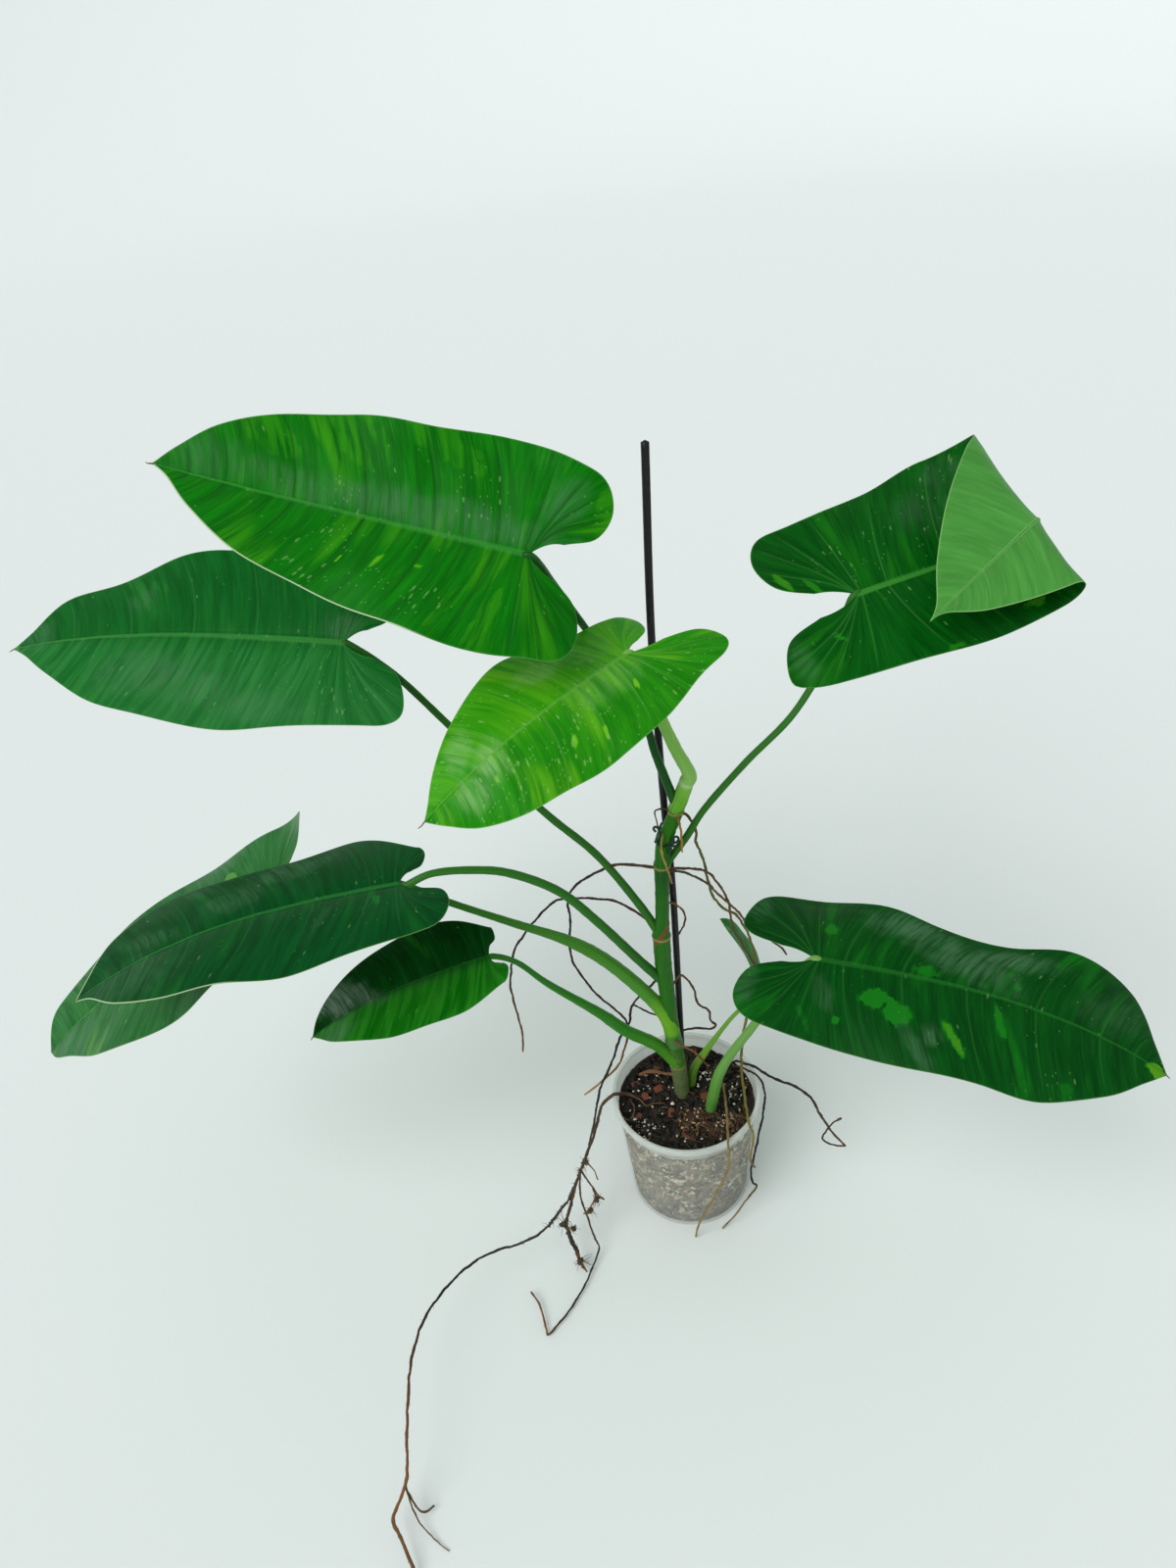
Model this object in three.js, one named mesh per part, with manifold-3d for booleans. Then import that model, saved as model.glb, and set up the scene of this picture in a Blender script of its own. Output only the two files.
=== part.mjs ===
import * as THREE from "three";
import { mergeVertices } from "three/addons/utils/BufferGeometryUtils.js";
import Module from "manifold-3d";

const wasm = await Module();
wasm.setup();

// Millimetres, Z up, origin at the middle of the underside of the pot.
// The plant's front, the side its leaves face, is towards -Y.
const GAP = 0.3;

// pot: a thin tapered cup with a turned-out rim
const POT_HEIGHT = 116;
const POT_BASE_RADIUS = 49.5;
const POT_RIM_RADIUS = 60;
const POT_WALL_TOP_RADIUS = 57.6;
const POT_WALL = 1.2;
const POT_FLOOR = 1.6;
const POT_RIM_DEPTH = 6;
const POT_SIDES = 40;
const DRAIN_HOLES = 4;
const DRAIN_RADIUS = 4.5;
const DRAIN_RING_RADIUS = 29;

// soil: fills the pot to a little below the rim
const SOIL_LEVEL = 104;
const SOIL_BUMP = 1.6;

// blades: thin sheets with a keel under the midrib, deeper on longer blades
const BLADE_THICKNESS = 0.8;
const KEEL_SHARE_OF_LENGTH = 0.0056;

const radians = THREE.MathUtils.degToRad;
const point = (p) => new THREE.Vector3(p[0], p[1], p[2]);
const keelDepth = (leaf) => KEEL_SHARE_OF_LENGTH * leaf.length;

// Closed solids

function solidFromLists(positions, triangles) {
  const geometry = new THREE.BufferGeometry();
  geometry.setAttribute("position", new THREE.BufferAttribute(new Float32Array(positions), 3));
  geometry.setIndex(triangles);
  return solidFromGeometry(geometry);
}

function solidFromGeometry(geometry) {
  const bare = geometry.clone();
  bare.deleteAttribute("normal");
  bare.deleteAttribute("uv");
  const merged = mergeVertices(bare, 1e-3);
  const corners = merged.index.array;
  const kept = [];
  for (let i = 0; i < corners.length; i += 3) {
    const [a, b, c] = [corners[i], corners[i + 1], corners[i + 2]];
    if (a !== b && b !== c && c !== a) kept.push(a, b, c);
  }
  return new wasm.Manifold(
    new wasm.Mesh({
      numProp: 3,
      vertProperties: new Float32Array(merged.attributes.position.array),
      triVerts: new Uint32Array(kept),
    }),
  );
}

// The body that is left of one solid once others are cut away, without loose scraps.
function cutBy(solid, ...cutters) {
  const rest = cutters.reduce((left, cutter) => left.subtract(cutter), solid);
  return rest.decompose().sort((a, b) => b.volume() - a.volume())[0];
}

function meshOf(name, solid, colour) {
  const mesh = solid.getMesh();
  const geometry = new THREE.BufferGeometry();
  geometry.setAttribute("position", new THREE.BufferAttribute(new Float32Array(mesh.vertProperties), 3));
  geometry.setIndex(new THREE.BufferAttribute(new Uint32Array(mesh.triVerts), 1));
  geometry.computeVertexNormals();
  const made = new THREE.Mesh(geometry, new THREE.MeshStandardMaterial({ color: colour, roughness: 0.6 }));
  made.name = name;
  return made;
}

function uprightCylinder(x, y, bottom, top, radius, sides = 16) {
  const geometry = new THREE.CylinderGeometry(radius, radius, top - bottom, sides);
  geometry.rotateX(Math.PI / 2);
  geometry.translate(x, y, (top + bottom) / 2);
  return solidFromGeometry(geometry);
}

// A round rod along a smooth line through points, its radius read from a list spread along it.
function rod(points, radii, sides, steps, extra = 0) {
  const line = new THREE.CatmullRomCurve3(points.map(point), false, "catmullrom", 0.5);
  const centres = Array.from({ length: steps + 1 }, (_, i) => line.getPoint(i / steps));
  const positions = [];
  const triangles = [];
  let across = new THREE.Vector3(0, 1, 0.2);
  centres.forEach((centre, i) => {
    const ahead = centres[Math.min(i + 1, steps)].clone().sub(centres[Math.max(i - 1, 0)]).normalize();
    across = across.clone().addScaledVector(ahead, -across.dot(ahead)).normalize();
    const other = ahead.clone().cross(across);
    const place = (i / steps) * (radii.length - 1);
    const low = Math.min(Math.floor(place), radii.length - 2);
    const radius = THREE.MathUtils.lerp(radii[low], radii[low + 1], place - low) + extra;
    for (let k = 0; k < sides; k++) {
      const turn = (2 * Math.PI * k) / sides;
      const rim = centre.clone();
      rim.addScaledVector(across, radius * Math.cos(turn));
      rim.addScaledVector(other, radius * Math.sin(turn));
      positions.push(...rim.toArray());
    }
  });
  for (let i = 0; i < steps; i++) {
    for (let k = 0; k < sides; k++) {
      const a = i * sides + k;
      const b = i * sides + ((k + 1) % sides);
      triangles.push(a, b, b + sides, a, b + sides, a + sides);
    }
  }
  for (let k = 1; k < sides - 1; k++) {
    triangles.push(0, k + 1, k);
    const last = steps * sides;
    triangles.push(last, last + k, last + k + 1);
  }
  return solidFromLists(positions, triangles);
}

// Leaf blades

// Where the half-widths of a blade are measured, tip side first, as shares of its length,
// and where the side vein that ends there leaves the midrib.
const WIDTH_PLACES = [0.95, 0.86, 0.7, 0.52, 0.33, 0.14];
const VEIN_STARTS = [0.92, 0.8, 0.61, 0.42, 0.24, 0.07];
// Steps round the edge from the tip past the lobe into the notch, in numbers of edge points.
const EDGE_STEPS = [0, 0.4, 1, 1.5, 2, 2.5, 3, 4, 5, 6, 6.6, 7.2, 7.7, 8.2, 8.7, 9.3, 10, 11];
// How far back the notch reaches its full width, as a share of the lobe's reach.
const NOTCH_REACH = 0.45;
const ACROSS_STEPS = [0, 0.06, 0.38, 0.7, 1];

function smoothValue(values, at) {
  const last = values.length - 1;
  const low = Math.min(Math.floor(at), last - 1);
  const w = at - low;
  const [a, b] = [values[Math.max(low - 1, 0)], values[low]];
  const [c, d] = [values[low + 1], values[Math.min(low + 2, last)]];
  const [start, end] = [(c - a) / 2, (d - b) / 2];
  return (2 * b - 2 * c + start + end) * w ** 3 + (3 * c - 3 * b - 2 * start - end) * w ** 2 + start * w + b;
}

// One edge point: distance along the midrib, distance out from it, and its vein's start on the midrib.
function edgePoint(leaf, half, at) {
  const [back, wide, end] = half.lobe;
  const notch = leaf.notch;
  const along = [leaf.length, ...WIDTH_PLACES.map((share) => share * leaf.length)];
  along.push(-0.35 * back, -0.82 * back, -back, -0.86 * back, -NOTCH_REACH * back, 0);
  const out = [0, ...half.widths, wide, wide - 0.28 * (wide - end), end];
  out.push(end - 0.66 * (end - notch), notch, 0);
  const start = [1, ...VEIN_STARTS, 0, 0, 0, 0, 0, 0];
  return {
    along: smoothValue(along, at),
    out: Math.max(smoothValue(out, at), 0),
    start: THREE.MathUtils.clamp(smoothValue(start, at), 0, 1) * leaf.length,
  };
}

// How far out from the midrib's line the notch's edge is at a place along it: 0 in front of the base.
function notchAt(leaf, half, along) {
  const share = THREE.MathUtils.clamp(-along / (NOTCH_REACH * half.lobe[0]), 0, 1);
  return leaf.notch * (1 - (1 - share) ** 2);
}

// The midrib as a list of places with axes: ahead, to the left and up out of the face.
const MIDRIB_STEPS = 24;
function midribOf(leaf) {
  const [heading, pitch, roll] = [leaf.heading, leaf.pitch, leaf.roll].map(radians);
  const ahead = new THREE.Vector3(
    Math.cos(heading) * Math.cos(pitch),
    Math.sin(heading) * Math.cos(pitch),
    Math.sin(pitch),
  );
  const left = new THREE.Vector3(-Math.sin(heading), Math.cos(heading), 0);
  const up = ahead.clone().cross(left);
  const bend = (from, to, angle) => {
    const turned = from.clone().multiplyScalar(Math.cos(angle)).addScaledVector(to, Math.sin(angle));
    to.multiplyScalar(Math.cos(angle)).addScaledVector(from, -Math.sin(angle));
    from.copy(turned);
  };
  bend(left, up, roll);
  const at = point(leaf.base);
  const places = [{ at: at.clone(), ahead: ahead.clone(), left: left.clone(), up: up.clone() }];
  for (let i = 0; i < MIDRIB_STEPS; i++) {
    const weight = (2 * (i + 0.5)) / MIDRIB_STEPS ** 2;
    bend(ahead, up, -radians(leaf.droop) * weight);
    bend(ahead, left, radians(leaf.sweep) * weight);
    bend(left, up, radians(leaf.twist) / MIDRIB_STEPS);
    at.addScaledVector(ahead, leaf.length / MIDRIB_STEPS);
    places.push({ at: at.clone(), ahead: ahead.clone(), left: left.clone(), up: up.clone() });
  }
  return places;
}

// The place in space of a blade point given along the midrib and out from it on one half.
function bladePoint(leaf, half, side, midrib, along, out) {
  const widest = half.widths[3];
  const slope = radians(half.fold + (half.curl * out * 0.5) / widest);
  const ripple = Math.sin((4 * Math.PI * along) / leaf.length + radians(half.phase));
  let across = side * out * Math.cos(slope);
  let height = out * Math.sin(slope) + leaf.wave * Math.min(out / widest, 1.2) ** 2 * ripple;
  height += half.lift * (Math.min(along, 0) / half.lobe[0]) ** 2;
  let forward = along;
  if (leaf.rollOver) {
    // the tip is rolled back over the face round a cylinder lying across the blade
    const { start, radius, angle, turn } = leaf.rollOver;
    const [foldX, foldY] = [Math.cos(radians(turn)), Math.sin(radians(turn))];
    const past = along * foldX + across * foldY - start;
    if (past > 0) {
      const full = radians(angle);
      const arc = Math.min(past, radius * full);
      const rest = past - arc;
      const bent = arc / radius;
      const reach = radius * Math.sin(bent) + rest * Math.cos(full) - height * Math.sin(bent);
      height = radius * (1 - Math.cos(bent)) + rest * Math.sin(full) + height * Math.cos(bent);
      forward += (reach - past) * foldX;
      across += (reach - past) * foldY;
    }
  }
  const share = THREE.MathUtils.clamp(forward / leaf.length, 0, 1) * MIDRIB_STEPS;
  const low = Math.min(Math.floor(share), MIDRIB_STEPS - 1);
  const [a, b, w] = [midrib[low], midrib[low + 1], share - low];
  const beyond = Math.min(forward, 0) + Math.max(forward - leaf.length, 0);
  const made = a.at.clone().lerp(b.at, w);
  made.addScaledVector(a.ahead.clone().lerp(b.ahead, w), beyond);
  made.addScaledVector(a.left.clone().lerp(b.left, w), across);
  return made.addScaledVector(a.up.clone().lerp(b.up, w), height);
}

// A blade as a closed sheet: a net of points along the side veins, moved out to both faces.
// Behind the base the net's rows bend round the notch, and the last row is the notch's edge.
function bladeSolid(leaf) {
  const midrib = midribOf(leaf);
  const sheet = [];
  const keel = [];
  const triangles = [];
  const rim = [];
  const found = new Map();
  const indexOf = (p, depth) => {
    const key = p.toArray().map((v) => Math.round(v * 1000)).join();
    if (!found.has(key)) {
      found.set(key, sheet.length);
      sheet.push(p);
      keel.push(depth);
    }
    return found.get(key);
  };
  for (const [side, half] of [[1, leaf.left], [-1, leaf.right]]) {
    const net = EDGE_STEPS.map((at) => {
      const edge = edgePoint(leaf, half, at);
      const clear = edge.out - notchAt(leaf, half, edge.along);
      return ACROSS_STEPS.map((share) => {
        const bow = 0.72 * (edge.along - edge.start) * share * (1 - share) * (edge.start > 0 ? 1 : 0);
        const along = edge.start + (edge.along - edge.start) * share - bow;
        const out = clear * share + notchAt(leaf, half, along);
        const depth = share === 0 ? keelDepth(leaf) * (1 - 0.75 * (edge.start / leaf.length)) : 0;
        return indexOf(bladePoint(leaf, half, side, midrib, along, out), depth);
      });
    });
    for (let i = 0; i + 1 < net.length; i++) {
      for (let j = 0; j + 1 < ACROSS_STEPS.length; j++) {
        const [a, b, c, d] = [net[i][j], net[i + 1][j], net[i + 1][j + 1], net[i][j + 1]];
        const pair = [[a, b, c], [a, c, d]];
        for (const t of pair) {
          if (new Set(t).size < 3) continue;
          triangles.push(side > 0 ? [t[0], t[2], t[1]] : t);
        }
      }
    }
    const edge = [...net.map((row) => row.at(-1)), ...net.at(-1).toReversed().slice(1)];
    for (let i = 0; i + 1 < edge.length; i++) {
      const step = [edge[i], edge[i + 1]];
      rim.push(side > 0 ? step.reverse() : step);
    }
  }
  const flat = new THREE.BufferGeometry();
  flat.setAttribute("position", new THREE.Float32BufferAttribute(sheet.flatMap((p) => p.toArray()), 3));
  flat.setIndex(triangles.flat());
  flat.computeVertexNormals();
  const normals = flat.getAttribute("normal");
  const half = BLADE_THICKNESS / 2;
  const positions = [];
  for (const face of [1, -1]) {
    sheet.forEach((p, i) => {
      const offset = face * half - (face < 0 ? keel[i] : 0);
      const normal = new THREE.Vector3().fromBufferAttribute(normals, i);
      positions.push(...p.clone().addScaledVector(normal, offset).toArray());
    });
  }
  const under = sheet.length;
  const faces = [];
  for (const [a, b, c] of triangles) {
    faces.push(a, b, c, under + a, under + c, under + b);
  }
  for (const [a, b] of rim) {
    faces.push(a, b, under + b, a, under + b, under + a);
  }
  return solidFromLists(positions, faces);
}

// Each leaf: where its stalk meets it, which way its midrib points, how it bends, and for each
// half the widths, the lobe (reach back, width, width at its end), fold, curl, ripple and lift.
const leaves = {
  leaf_1: {
    base: [90, -44, 297], heading: -23, pitch: 1, roll: 7, length: 232, droop: 27, sweep: -13, twist: 7,
    notch: 7, wave: 3,
    left: { widths: [15, 46, 55, 45, 48, 58], lobe: [55, 60, 25], fold: 1, curl: -11, phase: -52, lift: 0 },
    right: { widths: [14, 36, 56, 60, 64, 61], lobe: [49, 58, 38], fold: 0, curl: -23, phase: 175, lift: 3 },
    stalk: [[17, -12, 94], [21, -15, 128], [25, -18, 153], [34, -22, 180], [50, -29, 218],
      [67, -36, 259]],
    stalkRadii: [4.7, 4.6, 4.3, 3.8, 3.4, 3, 2.6],
  },
  leaf_2: {
    base: [78, 46, 161], heading: 166, pitch: 73, roll: 8, length: 100, droop: 19, sweep: 5, twist: -4,
    notch: 4, wave: 1,
    left: { widths: [5, 9, 14, 17, 17, 16], lobe: [16, 15, 8], fold: 10, curl: -7, phase: -78, lift: 0 },
    right: { widths: [4, 9, 15, 16, 17, 16], lobe: [16, 15, 8], fold: 8, curl: -14, phase: 140, lift: 0 },
    stalk: [[4, 10, 94], [9, 17, 118], [18, 21, 131], [29, 26, 144], [46, 34, 160], [64, 42, 167]],
    stalkRadii: [3.5, 3.6, 3.2, 2.4, 1.8, 1.6, 1.5],
  },
  leaf_3: {
    base: [-134, -19, 309], heading: 180, pitch: -16, roll: -14, length: 148, droop: 17, sweep: 10, twist: 4,
    notch: 8, wave: 1,
    left: { widths: [7, 18, 29, 37, 39, 37], lobe: [14, 27, 16], fold: 8, curl: -14, phase: 213, lift: 0 },
    right: { widths: [11, 21, 31, 38, 40, 35], lobe: [7, 22, 13], fold: 12, curl: -10, phase: 269, lift: 0 },
    stalk: [[-4, 5, 142], [-21, 2, 172], [-43, -2, 196], [-63, -6, 225], [-96, -12, 267],
      [-115, -16, 296]],
    stalkRadii: [5.6, 5, 4.8, 4.5, 3, 2.2, 2],
  },
  leaf_4: {
    base: [-276, 26, 357], heading: 184, pitch: -26, roll: -12, length: 240, droop: 15, sweep: 7, twist: -10,
    notch: 11, wave: 3,
    left: { widths: [14, 28, 53, 68, 73, 68], lobe: [42, 75, 62], fold: 19, curl: -11, phase: -6, lift: 0 },
    right: { widths: [23, 32, 43, 49, 58, 56], lobe: [35, 53, 28], fold: 8, curl: -24, phase: 59, lift: 18 },
    stalk: [[-6, 3, 168], [-11, 4, 199], [-25, 6, 226], [-52, 9, 262], [-79, 11, 286], [-119, 14, 308],
      [-157, 17, 329], [-196, 20, 353], [-236, 23, 363]],
    stalkRadii: [6.4, 6, 5.6, 5.2, 4.8, 3.2, 2.6, 2.5, 2.5, 2.5],
  },
  leaf_5: {
    base: [-182, -24, 388], heading: 183, pitch: -3.5, roll: 2, length: 225, droop: 20, sweep: 17, twist: -3,
    notch: 10, wave: 1,
    left: { widths: [8, 29, 46, 53, 61, 57], lobe: [34, 50, 31], fold: 7, curl: -17, phase: 26, lift: 2 },
    right: { widths: [13, 37, 53, 47, 48, 59], lobe: [17, 38, 28], fold: 6, curl: -13, phase: 114, lift: -3 },
    stalk: [[-10, 5, 236], [-30, 1, 270], [-56, -4, 316], [-80, -8, 352], [-110, -13, 377],
      [-135, -17, 387], [-160, -21, 391]],
    stalkRadii: [3.8, 3.5, 3.3, 3.2, 3, 2.8, 2.6, 2.4],
  },
  leaf_6: {
    base: [-198, 60, 523], heading: 164, pitch: 2, roll: -31, length: 247, droop: 10, sweep: 9, twist: 11,
    notch: 9, wave: 3,
    left: { widths: [8, 25, 48, 59, 63, 60], lobe: [47, 54, 40], fold: 1, curl: -20, phase: 44, lift: -3 },
    right: { widths: [11, 35, 45, 62, 66, 57], lobe: [33, 55, 27], fold: 6, curl: -6, phase: 94, lift: 4 },
    stalk: [[-11, 5, 285], [-25, 10, 315], [-51, 18, 358], [-81, 26, 391], [-113, 35, 430],
      [-138, 43, 461], [-168, 52, 499]],
    stalkRadii: [3.4, 3.1, 2.8, 2.7, 2.6, 2.5, 2.4, 2.3],
  },
  leaf_7: {
    base: [122, 18, 540], heading: 11, pitch: 8, roll: 37, length: 233, droop: -5, sweep: 2, twist: -11,
    notch: 8, wave: 3,
    left: { widths: [5, 23, 47, 64, 75, 66], lobe: [57, 57, 33], fold: 2, curl: -14, phase: 156, lift: 16 },
    right: { widths: [3, 19, 38, 51, 55, 54], lobe: [63, 51, 42], fold: 11, curl: -16, phase: 74, lift: 13 },
    rollOver: { start: 92, radius: 16, angle: 175, turn: 11.5 },
    stalk: [[-7, 4, 352], [10, 6, 375], [24, 7, 398], [52, 10, 430], [84, 13, 463], [108, 16, 507]],
    stalkRadii: [2.8, 2.6, 2.4, 2.4, 2.3, 2.3, 2.3],
  },
  leaf_8: {
    base: [-71, -10, 602], heading: 166, pitch: 14, roll: -31, length: 217, droop: -1, sweep: -2, twist: 7,
    notch: 10, wave: 3,
    left: { widths: [6, 22, 42, 50, 58, 63], lobe: [36, 57, 36], fold: 5, curl: -17, phase: -72, lift: -18 },
    right: { widths: [14, 32, 49, 56, 58, 64], lobe: [40, 56, 35], fold: 19, curl: -3, phase: 159, lift: -5 },
    stalk: [[5, 4, 403], [-2, 6, 429], [-7, 7, 448], [-12, 12, 470], [-25, 19, 501], [-43, 21, 535],
      [-58, 10, 570]],
    stalkRadii: [3.2, 3, 2.8, 2.6, 2.5, 2.4, 2.3, 2.3],
  },
  leaf_9: {
    base: [-21, -15, 536], heading: 217, pitch: -6, roll: -15, length: 156, droop: 40, sweep: 1, twist: -20,
    notch: 5, wave: 3,
    left: { widths: [11, 26, 39, 44, 49, 49], lobe: [55, 39, 27], fold: 3, curl: -16, phase: -58, lift: -3 },
    right: { widths: [5, 16, 32, 44, 48, 42], lobe: [29, 35, 22], fold: -7, curl: -13, phase: 161, lift: -5 },
    stalk: [[11, 4, 418], [14, 2, 434], [6, -2, 454], [-1, -5, 476], [-10, -10, 508]],
    stalkRadii: [4.2, 4.4, 4.2, 3.6, 3, 2.6],
  },
};

// Where the stalk ends, close under the keel at the blade's base.
function underBase(leaf) {
  const drop = BLADE_THICKNESS / 2 + keelDepth(leaf) + GAP + leaf.stalkRadii.at(-1);
  return point(leaf.base).addScaledVector(midribOf(leaf)[0].up, -drop).toArray();
}

// Stem, stake and tie

// Along the stem from the soil up: a point and the radius there. The short swellings are the
// rings where old leaves sat.
const stemStations = [
  [[-2, 6, 86], 5.6], [[-2.5, 6, 104], 6.1], [[-3.5, 6, 124], 6.2],
  [[-4.4, 5.8, 138], 6.3], [[-4.6, 5.7, 142], 7.2], [[-4.8, 5.6, 145], 6.3],
  [[-6.4, 5, 166], 6.3], [[-6.8, 5, 171], 7.3], [[-7.1, 5, 175], 6.2],
  [[-8.6, 5, 200], 5.9], [[-9.8, 5, 230], 6], [[-11, 5, 258], 6.3],
  [[-11, 5, 283], 6.5], [[-11, 5, 287], 7], [[-10.7, 5, 291], 6],
  [[-9.5, 5, 305], 5], [[-8.2, 5, 335], 5],
  [[-7.8, 4.6, 351], 5.4], [[-7.4, 4.5, 354.5], 6.1], [[-7, 4.3, 358], 5.5],
  [[-5, 4, 375], 5.4], [[-1.5, 4, 385], 5.1],
  [[3, 4, 397], 4.9], [[4.3, 4, 401], 5.6], [[5.5, 4, 405], 5],
  [[8.5, 4, 414], 4.8], [[11, 4, 424], 4.4],
];
const stakePoints = [[-1, 16, 8], [0, 16, 200], [0, 16, 325], [-2.5, 16, 400], [-4, 16, 526], [-1, 16, 648]];
const stakeRadii = [2.5, 2.5, 2.5, 2.5, 2.5, 2.5];

function stemSolid(extra = 0) {
  const points = stemStations.map((station) => station[0]);
  const radii = stemStations.map((station) => station[1]);
  return rod(points, radii, 12, points.length - 1, extra);
}

// A wire loop round stem and stake with two twisted tails.
function tieSolid() {
  const [stemX, stemY, stakeX, stakeY, level] = [-4.6, 4, -1.9, 16, 378];
  const loop = [];
  const [stemReach, stakeReach] = [6.7, 3.9];
  for (const turn of [-60, -20, 20, 60, 120, 160, 200, 240]) {
    const front = turn < 90;
    const angle = radians(turn - 90);
    const [x, y, reach] = front ? [stemX, stemY, stemReach] : [stakeX, stakeY, stakeReach];
    loop.push([x + reach * Math.cos(angle), y + reach * Math.sin(angle), level + 0.12 * (y - 10)]);
  }
  const ring = new THREE.CatmullRomCurve3(loop.map(point), true, "catmullrom", 0.5);
  const torus = new THREE.TubeGeometry(ring, 20, 0.8, 5, true);
  const knot = ring.getPoint(0.42).toArray();
  const tails = [
    rod([knot, [knot[0] + 3, knot[1] - 1, level + 1], [knot[0] + 5, knot[1], level - 3]], [1.1, 0.8], 5, 3),
    rod([knot, [knot[0] + 2, knot[1], level - 1], [knot[0] + 6, knot[1] - 2, level + 5]], [1.1, 0.8], 5, 3),
  ];
  return tails.reduce((made, tail) => made.add(tail), solidFromGeometry(torus));
}

// Roots

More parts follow.
